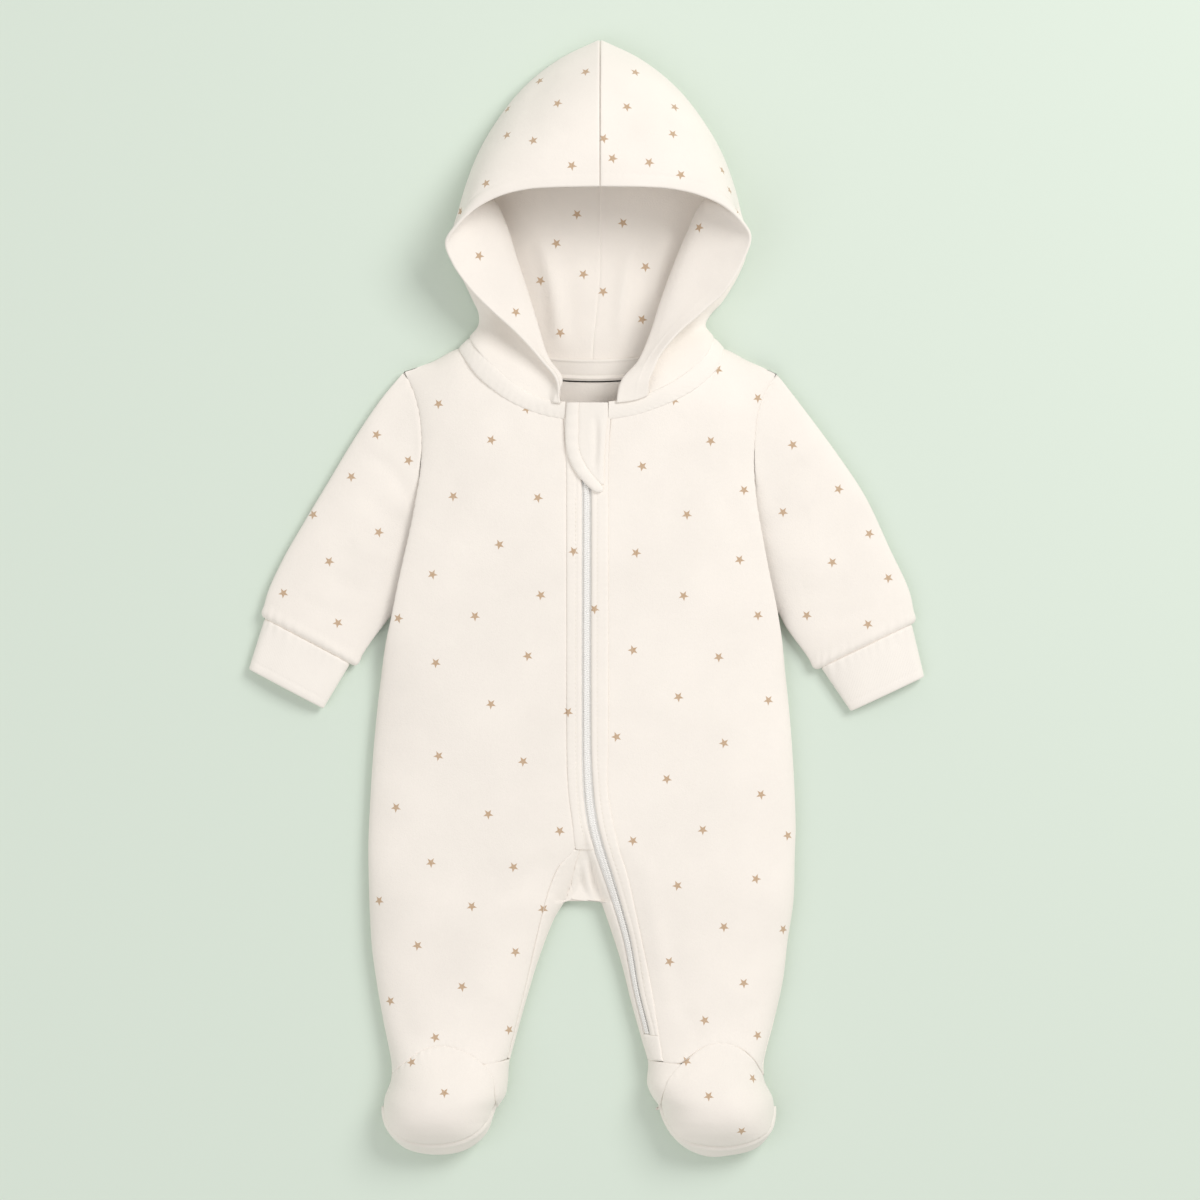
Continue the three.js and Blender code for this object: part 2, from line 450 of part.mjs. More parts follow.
const bodyRows = [0, 0.004, 0.016, 0.04, 0.09, 0.16, 0.25, 0.34, 0.43, 0.5, 0.58, 0.68, 0.8, 0.9, 0.955,
  0.981, 0.9925, 1];
const legRows = [-198, -212, -230, -250, -272, -290, -300.6];
const SHOULDER_COLUMNS = 6; // columns whose top is shoulder seam, on each side
const BACK_TOP = { right: 144.7, left: 143.4 }; // where the back's outer edges start
const BACK_EASE = { across: 0.25, down: 0.36 }; // shares of the body over which it eases onto the neckline
function backGeometry() {
  const points = [];
  const half = acrossHalf(0, 100).length;
  const width = 2 * half + CROTCH_COLUMNS - 1;
  // Places across a row whose outer ends are at this share of the way down.
  const across = (v) => {
    const ends = [lerp(BACK_TOP.right, CROTCH.y, v), lerp(BACK_TOP.left, CROTCH.y, v)];
    const right = acrossHalf(backSide("right", ends[0]), RIGHT_INSEAM(CROTCH.y));
    const left = acrossHalf(LEFT_INSEAM(CROTCH.y), backSide("left", ends[1]));
    const fork = [RIGHT_INSEAM(CROTCH.y), LEFT_INSEAM(CROTCH.y)];
    const between = steps(CROTCH_COLUMNS).slice(1, -1).map((t) => lerp(...fork, t));
    return [...right, ...between, ...left];
  };
  // The top of a column, on the shoulder seam or the neckline.
  const top = (c) => {
    const fromSide = Math.min(c, width - 1 - c);
    const neckColumns = width - 1 - 2 * SHOULDER_COLUMNS;
    if (fromSide >= SHOULDER_COLUMNS) return BACK_NECK((c - SHOULDER_COLUMNS) / neckColumns);
    const tip = c < half ? -117.8 : 122;
    const x = lerp(tip, BACK_NECK(c < half ? 0 : 1).x, fromSide / SHOULDER_COLUMNS);
    return { x, y: SHOULDER(x) - 0.3 };
  };
  for (const v of bodyRows) {
    const near = clamp(1 - v / BACK_EASE.across, 0, 1) ** 2;
    const lifted = clamp(1 - v / BACK_EASE.down, 0, 1) ** 1.4;
    for (let c = 0; c < width; c += 1) {
      const start = top(c);
      const y = lerp(BACK_TOP.right, CROTCH.y, v) + lifted * (start.y - BACK_TOP.right);
      points.push(new THREE.Vector3(across(v)[c] + near * (start.x - across(0)[c]), y, 0));
    }
  }
  const cells = gridCells(bodyRows.length, width);
  const lastRow = (bodyRows.length - 1) * width;
  const addLeg = (firstColumn, edges) => {
    let previous = Array.from({ length: half }, (_, c) => lastRow + firstColumn + c);
    for (const y of legRows.slice(1)) {
      const [from, to] = edges(y);
      const start = points.length;
      acrossHalf(from, to).forEach((x) => points.push(new THREE.Vector3(x, y, 0)));
      const current = Array.from({ length: half }, (_, c) => start + c);
      for (let c = 0; c + 1 < half; c += 1) {
        cells.push([previous[c], previous[c + 1], current[c + 1], current[c]]);
      }
      previous = current;
    }
  };
  addLeg(0, (y) => [RIGHT_SIDE(y), RIGHT_INSEAM(y)]);
  addLeg(half + CROTCH_COLUMNS - 1, (y) => [LEFT_INSEAM(y), LEFT_SIDE(y)]);
  points.forEach((p) => p.setZ(backHeight(p.x, p.y)));
  const normals = sheetNormals(points, cells);
  const inside = points.map((p, i) => {
    const atSeam = p.z > SEAM_Z - SEAM_GAP - 0.05;
    const facing = atSeam ? normals[i].clone().setZ(0).normalize() : normals[i];
    return p.clone().addScaledVector(facing, -CLOTH);
  });
  return wall(points, inside, cells);
}
add("back", backGeometry());

// Sleeves: tubes between an outer and an inner edge, flat underneath and domed above.
const AROUND = 20;
const SLEEVES = {
  right: {
    outer: line([[-119.2, 145], [-133.9, 127.4], [-151.5, 101.4], [-167.1, 75.4], [-182.7, 49.4],
      [-197.6, 23.4], [-207.5, 1.5], [-210.9, -13.6]]),
    inner: line([[-90.5, 25.5], [-108.5, 7], [-126.8, -12.6], [-139.8, -29.2], [-150.4, -45.6]]),
    armTop: line([[-119.2, 145], [-113.2, 132], [-109.2, 115.7], [-107.9, 97], [-109, 80], [-108, 62],
      [-101, 42], [-90.5, 25.5]]),
    armUnder: line([[-119.2, 144.8], [-111, 128], [-107.6, 102], [-106.2, 86], [-102.5, 62], [-97, 42],
      [-90.5, 25.5]]),
    cuff: { fromOuter: [-209.3, -14.9], fromInner: [-153.9, -44.2], toOuter: [-219.6, -47.6],
      toInner: [-171.2, -73.2] },
  },
  left: {
    outer: line([[123.5, 143.7], [141.1, 120.9], [163.2, 91], [180.7, 64.4], [196.3, 31.2], [209.6, 2],
      [213, -17.2]]),
    inner: line([[92, 25.5], [109.2, 5.5], [124, -10.8], [128.7, -19.5], [141.1, -36.6], [149, -48]]),
    armTop: line([[123.5, 143.7], [115.1, 128.7], [111.2, 115.7], [109.6, 100.1], [109.2, 82],
      [108.5, 62], [102, 42], [92, 25.5]]),
    armUnder: line([[123.5, 143.5], [113.8, 128], [109.8, 102], [108.2, 86], [104, 62], [98, 42],
      [92, 25.5]]),
    cuff: { fromOuter: [210.9, -18.6], fromInner: [152.2, -46.9], toOuter: [219, -52.6],
      toInner: [171.4, -75] },
  },
};
const SLEEVE_MID = 6;
const SLEEVE_LOFT = 13.2;
const CAP_REACH = 0.4; // share of a sleeve's length over which it eases onto the armhole
const SEAM_REACH = 0.22; // the same for the height of the armhole seam
const sleeveShare = (k, around) => (1 - Math.cos((2 * Math.PI * k) / around)) / 2;

function sleeveGeometry(arm, side) {
  const points = [];
  const stations = [0, 0.03, 0.08, 0.15, 0.24, 0.34, 0.45, 0.56, 0.67, 0.78, 0.88, 0.95, 0.985, 1];
  for (const s of stations) {
    const outer = arm.outer(s);
    const inner = arm.inner(s);
    const start = arm.outer(0);
    const root = arm.inner(0);
    const fade = clamp(1 - s / CAP_REACH, 0, 1) ** 2;
    const loft = lerp(SLEEVE_LOFT, SLEEVE_LOFT - 0.8, s) * (1 - 0.1 * smooth(0.96, 1, s));
    for (let k = 0; k < AROUND; k += 1) {
      const w = sleeveShare(k, AROUND);
      const above = k <= AROUND / 2;
      const cap = (above ? arm.armTop : arm.armUnder)(w);
      const x = lerp(outer.x, inner.x, w) + fade * (cap.x - lerp(start.x, root.x, w));
      const y = lerp(outer.y, inner.y, w) + fade * (cap.y - lerp(start.y, root.y, w));
      const bulge = w < 0.5 ? rounded(w, 2.4, 0.5) : rounded(w, 1.9, 0.62);
      let z = SLEEVE_MID + (loft - SLEEVE_MID) * bulge;
      if (!above) z = SLEEVE_MID * (1 - rounded(w, 9, 0.5));
      if (above && k > 0 && k < AROUND / 2) {
        const edge = side * (Math.abs(cap.x) - 1.2);
        const seam = w < 0.62 ? frontHeight(edge, cap.y) - 0.3 : z;
        z = lerp(z, lerp(seam, z, smooth(0.45, 0.62, w)), clamp(1 - s / SEAM_REACH, 0, 1) ** 2);
      }
      points.push(new THREE.Vector3(x, y, z));
    }
  }
  return thickened(points, gridCells(stations.length, AROUND, true), CLOTH, side);
}
add("sleeve_right", sleeveGeometry(SLEEVES.right, -1));
add("sleeve_left", sleeveGeometry(SLEEVES.left, 1));

// Cuffs: short doubled bands that the sleeves are gathered into, with an open end.
const CUFF = { mid: 5, rootLoft: 11.6, endLoft: 10.4 };
function cuffGeometry({ fromOuter, fromInner, toOuter, toInner }, side) {
  const points = [];
  const stations = [0, 0.3, 0.65, 0.93, 1];
  for (const s of stations) {
    const outer = [0, 1].map((i) => lerp(fromOuter[i], toOuter[i], s));
    const inner = [0, 1].map((i) => lerp(fromInner[i], toInner[i], s));
    const loft = lerp(CUFF.rootLoft, CUFF.endLoft, s) - 0.5 * smooth(0.9, 1, s);
    for (let k = 0; k < AROUND; k += 1) {
      const w = sleeveShare(k, AROUND);
      const above = k <= AROUND / 2;
      const upper = CUFF.mid + (loft - CUFF.mid) * rounded(w, 3, 0.5);
      const z = above ? upper : CUFF.mid * (1 - rounded(w, 9, 0.5));
      points.push(new THREE.Vector3(lerp(outer[0], inner[0], w), lerp(outer[1], inner[1], w), z));
    }
  }
  return thickened(points, gridCells(stations.length, AROUND, true), RIB_CLOTH, side);
}
add("cuff_right", cuffGeometry(SLEEVES.right.cuff, -1), ribbing);
add("cuff_left", cuffGeometry(SLEEVES.left.cuff, 1), ribbing);

// Feet. The toe cap domes over the toes, the sole closes their end, and the heel lies under the ankle.
const FEET = {
  right: {
    side: -1,
    capTop: line([[-126.4, -311], [-119, -303.2], [-105, -294.2], [-90.6, -292], [-76, -297],
      [-66.6, -303.6], [-60.4, -312.7]]),
    capBottom: line([[-131.9, -331.9], [-130.8, -337.5], [-127, -345.2], [-117, -351.6], [-98.8, -354.2],
      [-79, -350.6], [-66, -341.4], [-59.6, -329]]),
    reach: line([[-132.4, -331.9], [-132, -338], [-129.6, -346], [-118, -357.6], [-98.8, -362],
      [-78.6, -358.8], [-65.2, -348.2], [-59.2, -331.6]]),
    outerSide: RIGHT_SIDE,
    innerSide: RIGHT_INSEAM,
    capInner: through([[-302, -65.9], [-306, -63.6], [-312.7, -59], [-330.6, -57.8]]),
  },
  left: {
    side: 1,
    capTop: line([[114, -312], [108, -302.6], [98, -294.4], [87, -290.4], [76, -292.4], [65, -299.6],
      [56.4, -307], [51.8, -313.6]]),
    capBottom: line([[121.3, -331.9], [120.4, -338.5], [117.4, -346], [107, -352.2], [90, -355.8],
      [72, -354.2], [58.4, -349.6], [50, -337], [48, -329]]),
    reach: line([[121.8, -331.9], [121.6, -338.5], [120, -346], [110, -357.6], [92, -362.6],
      [78, -363.2], [63, -357], [52.8, -346], [47.2, -331.4]]),
    outerSide: LEFT_SIDE,
    innerSide: LEFT_INSEAM,
    capInner: through([[-302, 60.8], [-307, 55.2], [-313.6, 50.6], [-322, 47.3], [-330.6, 46.8]]),
  },
};
const EDGE_EASE = 6; // how fast the toe cap's pull on to the side line fades inwards
const SOLE_BACK = -331.6;
const SOLE_INSET = 10; // the sole's back edge is this much narrower at each end

// The toe cap, from its seam over the instep down to the sole. Its outer edge lies on the side line.
function toeCapGeometry(foot) {
  const high = foot.capTop(0);
  const low = foot.capBottom(0);
  const plan = (u, v) => {
    const top = foot.capTop(u);
    const bottom = foot.capBottom(u);
    const spot = { x: lerp(top.x, bottom.x, v), y: lerp(top.y, bottom.y, v) };
    const edge = { x: lerp(high.x, low.x, v), y: lerp(high.y, low.y, v) };
    spot.x += (foot.outerSide(edge.y) - edge.x) * (1 - u) ** EDGE_EASE;
    return u === 0 ? { ...spot, upright: { x: foot.side, y: 0 } } : spot;
  };
  return frontPiece(plan, [0, 0.02, 0.08, 0.18, 0.3, 0.42, 0.54, 0.66, 0.78, 0.88, 0.95, 1], steps(7));
}

// From the toe-cap seam out over the end of the foot, down to the surface and back under it.
function soleGeometry(foot) {
  const points = [];
  const across = steps(12);
  const down = steps(8);
  for (const v of down) {
    for (const u of across) {
      const seam = foot.capBottom(u);
      const drop = 1.6 + 2.6 * smooth(0.75, 1, u);
      const seamZ = Math.max(frontHeight(seam.x, seam.y) - drop, SEAM_Z - SEAM_GAP * 3);
      const end = foot.reach(u);
      const middle = { x: lerp(foot.reach(0).x, foot.reach(1).x, 0.5), y: SOLE_BACK };
      const out = new THREE.Vector2(end.x - middle.x, end.y - middle.y).normalize();
      const corners = [foot.reach(0).x - foot.side * SOLE_INSET, foot.reach(1).x + foot.side * SOLE_INSET];
      const back = { x: lerp(...corners, u), y: SOLE_BACK };
      const start = new THREE.Vector3(seam.x + out.x * SEAM_GAP * 2, seam.y + out.y * SEAM_GAP * 2, seamZ);
      const under = (d) => ({ x: end.x - out.x * d, y: end.y - out.y * d });
      const curve = bend([
        start,
        new THREE.Vector3(end.x, end.y, seamZ * 0.52),
        new THREE.Vector3(under(5).x, under(5).y, 0.3),
        new THREE.Vector3(lerp(under(9).x, back.x, 0.3), lerp(under(9).y, back.y, 0.3), 0),
        new THREE.Vector3(back.x, back.y, 0),
      ]);
      const p = curve.getPoint(v);
      points.push(p.setZ(Math.max(p.z, 0)));
    }
  }
  return thickened(points, gridCells(down.length, across.length), CLOTH, foot.side);
}

// Across the foot: from the outer side seam down, under the ankle and up the inner side to the toe cap.
function heelGeometry(foot) {
  const points = [];
  const down = steps(4);
  const under = acrossHalf(0, 1).length;
  for (const v of down) {
    const y = lerp(-301.1, SOLE_BACK + SEAM_GAP, v);
    const [from, to] = [foot.outerSide(y), foot.innerSide(y)];
    const flat = acrossHalf(from, to).slice(0, under - 1);
    flat.forEach((x) => points.push(new THREE.Vector3(x, y, backHeight(x, y))));
    const cap = foot.capInner(y);
    for (const t of [0, 0.1, 0.35, 0.7, 1]) {
      const x = lerp(to, cap, t);
      points.push(new THREE.Vector3(x, y - 1.4 * t * (1 - v), t === 0 ? SEAM_Z : frontHeight(x, y)));
    }
  }
  return thickened(points, gridCells(down.length, under + 4), CLOTH, -foot.side);
}

for (const [name, foot] of Object.entries(FEET)) {
  add(`toe_cap_${name}`, toeCapGeometry(foot));
  add(`sole_${name}`, soleGeometry(foot));
  add(`heel_${name}`, heelGeometry(foot));
}

// Neckband, from one front end round the back to the other. Rows: its seam to the body and its seam to
// the hood, each x, y, z of the outer face, from the right front end to the left front end.
const NECKBAND_ROWS = [
  { body: [-15, 116.2, 25.4], hood: [-14.6, 124.6, 26.2] },
  { body: [-28.4, 119, 25.2], hood: [-28.2, 126.6, 26] },
  { body: [-46, 126, 24.6], hood: [-40.3, 131.7, 25.4] },
  { body: [-56.6, 132.8, 23.8], hood: [-50.3, 138.7, 24.6] },
  { body: [-68.5, 142.7, 21.4], hood: [-60.8, 148.2, 22.6] },
  { body: [-76.6, 153.5, 17], hood: [-69.6, 158.2, 18.4] },
  { body: [-81.4, 162.2, 7.4], hood: [-75.2, 167.4, 8.4] },
  { body: [-75.5, 160.2, 1], hood: [-70.5, 166.4, 1.2] },
  { body: [-60, 151.3, 0], hood: [-57, 159.4, 0] },
  { body: [-34, 143.9, 0], hood: [-32.4, 152, 0] },
  { body: [3.4, 140.9, 0], hood: [3.4, 149.2, 0] },
  { body: [41, 143.9, 0], hood: [39.4, 152, 0] },
  { body: [67, 151.3, 0], hood: [64, 159.4, 0] },
  { body: [82.4, 160.2, 1], hood: [77.5, 166.4, 1.2] },
  { body: [87.2, 162.3, 7.8], hood: [81.6, 167.4, 8.8] },
  { body: [82.8, 148.6, 17], hood: [76.8, 156.4, 18.4] },
  { body: [71, 136.8, 21.8], hood: [66.6, 145.4, 22.8] },
  { body: [57.3, 128.8, 24.2], hood: [54.4, 137, 24.9] },
  { body: [43.4, 122.9, 24.9], hood: [41.6, 131, 25.6] },
  { body: [31.6, 119, 25.3], hood: [31, 127, 26] },
  { body: [15.3, 116.2, 25.5], hood: [15.6, 124.8, 26.3] },
];
function neckbandGeometry() {
  const seam = (key) => bend(NECKBAND_ROWS.map((row) => new THREE.Vector3(...row[key])));
  const body = seam("body");
  const hood = seam("hood");
  const points = [];
  const along = steps((NECKBAND_ROWS.length - 1) * 2);
  for (const t of along) {
    for (const w of [0, 0.5, 1]) {
      const p = new THREE.Vector3().lerpVectors(body.getPoint(t), hood.getPoint(t), w);
      points.push(p.setZ(Math.max(p.z, 0)));
    }
  }
  return thickened(points, gridCells(along.length, 3), CLOTH);
}
add("neckband", neckbandGeometry());

// Neck tape, laid over the seam inside the back of the neck.
const NECK_TAPE = { from: -46, to: 53, low: 139.6, high: 153.6, z: 2.4, thickness: 1 };
function neckTapeGeometry() {
  const points = [];
  const along = steps(12);
  for (const t of along) {
    const x = lerp(NECK_TAPE.from, NECK_TAPE.to, t);
    const curve = 4.5 * (2 * t - 1) ** 2;
    for (const w of [0, 0.5, 1]) {
      const y = lerp(NECK_TAPE.low, NECK_TAPE.high, w) + curve;
      points.push(new THREE.Vector3(x, y, NECK_TAPE.z + NECK_TAPE.thickness));
    }
  }
  return thickened(points, gridCells(along.length, 3), NECK_TAPE.thickness, -1);
}
add("neck_tape", neckTapeGeometry());

// Hood. Each half is a loft of ribs that run from its centre seam, where it lies on the surface, out to
// where it turns up, in again to its inner fold, and out to the brim. Towards the crown the inner fold
// dies away and the rib goes straight over from the turn to the brim. Heights are of the middle of the cloth.
// Columns: y of the centre seam; the turn; the height above the turn and between turn and fold; the fold;
// the brim; how much of the inner fold there is; and how far the stretch beside the neckband bows out.
const HOOD_COLUMNS = ["seam", "turnX", "turnY", "rise", "between", "foldX", "foldY", "foldZ",
  "brimX", "brimY", "brimZ", "folded", "bow"];
const hoodTable = (rows) =>
  rows.map((row) => Object.fromEntries(HOOD_COLUMNS.map((name, i) => [name, row[i]])));
const HOOD_RIBS = {
  right: hoodTable([
    [150.4, -74, 168.4, 17, 23.4, -20.5, 129.4, 27.6, -16.6, 127.4, 29.4, 1, 10],
    [158, -69.4, 176, 13, 20, -16.6, 139.8, 26.8, -20.2, 140.4, 30.2, 1, 6],
    [170, -69.6, 184, 10.5, 16, -25.5, 153.6, 25.4, -31, 154.2, 30.6, 1, 2.5],
    [186, -73.4, 192.5, 10, 13.5, -33, 177, 22, -46.4, 170.3, 31.6, 1, 0.8],
    [204, -78.4, 203, 9.6, 12, -39.4, 198, 19.4, -61.6, 184, 32.6, 1, 0],
    [222, -83.6, 214, 9.4, 11, -46.4, 219, 17.4, -74.7, 197.2, 34, 1, 0],
    [240, -87, 225.5, 9.4, 10.6, -53, 240, 16.4, -86.6, 214, 36.6, 1, 0],
    [256, -86, 238.5, 9.6, 12, -60.5, 257, 18, -91, 227.2, 40, 0.95, 0],
    [275, -82.6, 249.5, 10, 15, -70, 258, 24, -84.2, 237, 45, 0.4, 0],
    [293, -78.8, 261.5, 10, 15, -74, 262, 26, -71.1, 248.6, 50, 0, 0],
    [310, -70.2, 285, 10, 15, -60, 280, 30, -54.9, 256.6, 54, 0, 0],
    [325, -59.2, 305, 10, 15, -50, 290, 30, -37.6, 260.6, 56, 0, 0],
    [336, -41.4, 328, 10, 15, -30, 310, 30, -20.4, 261.7, 57, 0, 0],
    [342, -17.8, 347, 10, 15, -10, 320, 30, -5.6, 262, 57.6, 0, 0],
    [345, 8.2, 359.8, 10, 15, 8.2, 330, 30, 8.2, 262.2, 58, 0, 0],
  ]),
  left: hoodTable([
    [150.4, 81, 168.2, 17, 23.4, 19.5, 128.2, 27.6, 38, 133.6, 30, 1, -11],
    [158, 76, 175.5, 13, 20, 23.6, 139.6, 26.8, 42.4, 144, 30.6, 1, -6.5],
    [170, 79.4, 183, 10.5, 16, 33.6, 151, 25.4, 47.2, 155, 31, 1, -2.5],
    [186, 86.4, 190.5, 10, 13.5, 41.2, 168, 22.6, 58.6, 169, 32, 1, -0.8],
    [204, 92.8, 200, 9.6, 12, 47.5, 188, 19.8, 74.4, 182.8, 33, 1, 0],
    [222, 98.2, 210, 9.4, 11, 55, 209, 17.4, 89.6, 196.8, 34.6, 1, 0],
    [240, 102.4, 221, 9.4, 10.6, 64, 231, 16.4, 100.6, 215, 37, 1, 0],
    [256, 102.6, 236, 9.6, 12, 76, 257, 18, 105.6, 230.5, 41, 0.95, 0],
    [275, 99, 248.5, 10, 15, 84, 258, 24, 101, 238.6, 45.6, 0.4, 0],
    [293, 95.4, 261.5, 10, 15, 90, 262, 26, 88.6, 249.4, 50, 0, 0],
    [310, 87.2, 285, 10, 15, 77, 280, 30, 72, 256.8, 54, 0, 0],
    [325, 76.2, 305, 10, 15, 67, 290, 30, 54.6, 260.7, 56, 0, 0],
    [336, 58.4, 328, 10, 15, 47, 310, 30, 37.2, 261.9, 57, 0, 0],
    [342, 34.7, 347, 10, 15, 27, 320, 30, 22.6, 262.1, 57.6, 0, 0],
    [345, 8.7, 359.8, 10, 15, 8.7, 330, 30, 8.7, 262.2, 58, 0, 0],
  ]),
};
const HOOD_REST = HOOD_CLOTH / 2; // middle of the cloth where it lies on the surface
const TURN_DEPTH = 8; // how far in from the turn a rib has come level again
const FOLD_RADIUS = 2.6;
const FOLD_DEPTH = 4;
const SHORT_RIB = 40; // a rib this short runs straight down from the peak
const STRAIGHT_STOPS = [0.13, 0.28, 0.42, 0.56, 0.7, 0.85, 1]; // places along a rib that has no fold
const HOOD_ROWS = [0, 0.5, 1, 2, 3, 4, 5, 6, 6.5, 7, 7.5, 8, 9, 10, 11, 12, 13, 13.5, 14];
const RIB_STOPS = [0, 1, 2, 2.5, 3, 3.5, 4, 5, 6, 6.5, 7, 7.5, 8, 9, 10];

const ABOVE_SHARE = 0.5; // how much of the bow beside the neckband is had just above the turn

// The eleven points that a rib's curve goes through.
function ribControls(rib, side) {
  const seam = new THREE.Vector3(HOOD_CENTRE + side * 0.25 - 5 * smooth(215, 150, rib.seam), rib.seam,
    HOOD_REST);
  const turn = new THREE.Vector3(rib.turnX, rib.turnY, 0);
  const fold = new THREE.Vector3(rib.foldX, rib.foldY, rib.foldZ);
  const brim = new THREE.Vector3(rib.brimX, rib.brimY, rib.brimZ);
  const inward = new THREE.Vector3(seam.x - turn.x, seam.y - turn.y, 0);
  if (inward.length() < SHORT_RIB) inward.set(0, -1, 0);
  inward.normalize();
  const level = turn.clone().addScaledVector(inward, TURN_DEPTH).setZ(HOOD_REST);
  const above = turn.clone().addScaledVector(inward, TURN_DEPTH - 1).setZ(rib.rise);
  const outward = new THREE.Vector3(turn.x - fold.x, turn.y - fold.y, 0).normalize();
  const below = fold.clone().addScaledVector(outward, FOLD_DEPTH).setZ(fold.z - FOLD_RADIUS);
  const over = new THREE.Vector3(brim.x - fold.x, brim.y - fold.y, 0).normalize();
  const reach = Math.min(FOLD_DEPTH, brim.distanceTo(fold) * 0.4);
  const onTop = fold.clone().addScaledVector(over, reach).setZ(lerp(fold.z, brim.z, 0.3));
  const aside = new THREE.Vector3(-outward.y, outward.x, 0).multiplyScalar(rib.bow);
  const between = new THREE.Vector3().lerpVectors(above, below, 0.5).setZ(rib.between).add(aside);
  above.addScaledVector(aside, ABOVE_SHARE);
  const middle = new THREE.Vector3().lerpVectors(onTop, brim, 0.5);
  const folded = [above, between, below, fold, onTop, middle, brim];
  const straight = STRAIGHT_STOPS.map((w) => {
    const height = lerp(rib.rise * 0.8, brim.z, 1 - (1 - w) ** 1.7);
    return turn.clone().lerp(brim, w ** 1.45).setZ(height);
  });
  const turnZ = lerp(rib.rise * 0.8, (rib.rise + HOOD_REST) / 2, rib.folded);
  return [
    seam,
    new THREE.Vector3().lerpVectors(seam, level, 0.5),
    level,
    turn.clone().setZ(turnZ),
    ...straight.map((p, i) => p.lerp(folded[i], rib.folded)),
  ];
}

function hoodGeometry(ribs, side) {
  const controls = ribs.map((rib) => ribControls(rib, side));
  const lengthwise = controls[0].map((_, i) => bend(controls.map((rib) => rib[i])));
  const last = ribs.length - 1;
  const points = [];
  for (const s of HOOD_ROWS) {
    const rib = bend(lengthwise.map((curve) => curve.getPoint(s / last)));
    for (const stop of RIB_STOPS) points.push(rib.getPoint(stop / (controls[0].length - 1)));
  }
  const cells = gridCells(HOOD_ROWS.length, RIB_STOPS.length);
  const normals = sheetNormals(points, cells);
  const seamX = HOOD_CENTRE + side * 0.25;
  const lastRow = points.length - RIB_STOPS.length;
  const shifted = (by) => points.map((p, i) => {
    const moved = p.clone().addScaledVector(normals[i], by);
    if (side < 0) moved.x = Math.min(moved.x, seamX);
    if (side > 0 && i >= lastRow) moved.x = Math.max(moved.x, seamX);
    return moved.setZ(Math.max(moved.z, 0));
  });
  return wall(shifted(HOOD_CLOTH / 2), shifted(-HOOD_CLOTH / 2), cells);
}
add("hood_right", hoodGeometry(HOOD_RIBS.right, -1));
add("hood_left", hoodGeometry(HOOD_RIBS.left, 1));

// The origin is on the surface, below the middle of the suit's box.
const ORIGIN = { x: -0.3, y: -1.5 };
sleepsuit.position.set(-ORIGIN.x, -ORIGIN.y, 0);

export default sleepsuit;
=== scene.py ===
"""Looks of a hooded footed baby sleepsuit laid flat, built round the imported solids.

Every piece is a thin wall of cloth on the form of its solid, made finer, with its seams, soft creases,
stitches and print. Lengths are in millimetres until a mesh is made. +X is the viewer's right, +Y towards
the hood and +Z up. "right" and "left" are the wearer's own.
"""
import math

import bpy
import numpy as np
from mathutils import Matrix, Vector


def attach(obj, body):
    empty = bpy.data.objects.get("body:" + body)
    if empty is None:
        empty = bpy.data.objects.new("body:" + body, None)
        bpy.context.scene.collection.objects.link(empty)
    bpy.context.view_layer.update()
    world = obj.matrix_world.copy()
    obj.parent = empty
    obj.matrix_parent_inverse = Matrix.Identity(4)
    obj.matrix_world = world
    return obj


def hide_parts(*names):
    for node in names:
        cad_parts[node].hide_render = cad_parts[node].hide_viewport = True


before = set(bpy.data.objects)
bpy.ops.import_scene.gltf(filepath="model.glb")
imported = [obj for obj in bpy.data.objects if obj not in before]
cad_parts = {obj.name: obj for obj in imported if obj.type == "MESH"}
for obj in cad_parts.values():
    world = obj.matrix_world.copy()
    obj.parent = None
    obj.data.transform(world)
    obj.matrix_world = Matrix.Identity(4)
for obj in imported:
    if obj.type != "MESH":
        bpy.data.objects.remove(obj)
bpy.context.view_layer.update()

# Driving dimensions
CLOTH = 2.0
RIB_CLOTH = 2.6
HOOD_CLOTH = 2.0
SEAM_GAP = 0.4
THINNEST = 0.8
SEAM_Z = 6.1
EDGE_ROLL = 7.0
TORSO_LOFT = 25.0
SHOULDER_ROLL = 42.0
SHOULDER_DROP, SHOULDER_DROP_REACH = 3.4, 12.0
SHOULDER_DROP_ENDS, SHOULDER_MIDDLE = (98.0, 112.0), 2.2
CROTCH_ROLL = 10.0
CROTCH_X, CROTCH_Y, CROTCH_HALF = -2.2, -198.0, 12.0
HOOD_CENTRE = 8.45
ORIGIN = np.array([-0.3, -1.5, 0.0])  # taken off every point, as the solids do
METRE = 0.001

# Colours, as linear values
FLEECE_COLOUR = (0.935, 0.882, 0.825)
PLAIN_COLOUR = (0.935, 0.886, 0.83)
RIB_COLOUR = (0.938, 0.89, 0.836)
TAPE_COLOUR = (0.94, 0.935, 0.92)
TEETH_COLOUR = (0.97, 0.96, 0.945)
STAR_COLOUR = (0.5, 0.31, 0.155)
THREAD_COLOUR = (0.9, 0.855, 0.78)
FLOOR_COLOUR = (0.7, 0.795, 0.71)


def lerp(a, b, t):
    """The value a share t of the way from a to b."""
    return a + (b - a) * t


def smooth(start, end, x):
    """A soft step from 0 at start to 1 at end: 3 t squared minus 2 t cubed."""
    t = np.clip((x - start) / (end - start), 0, 1)
    return t * t * (3 - 2 * t)


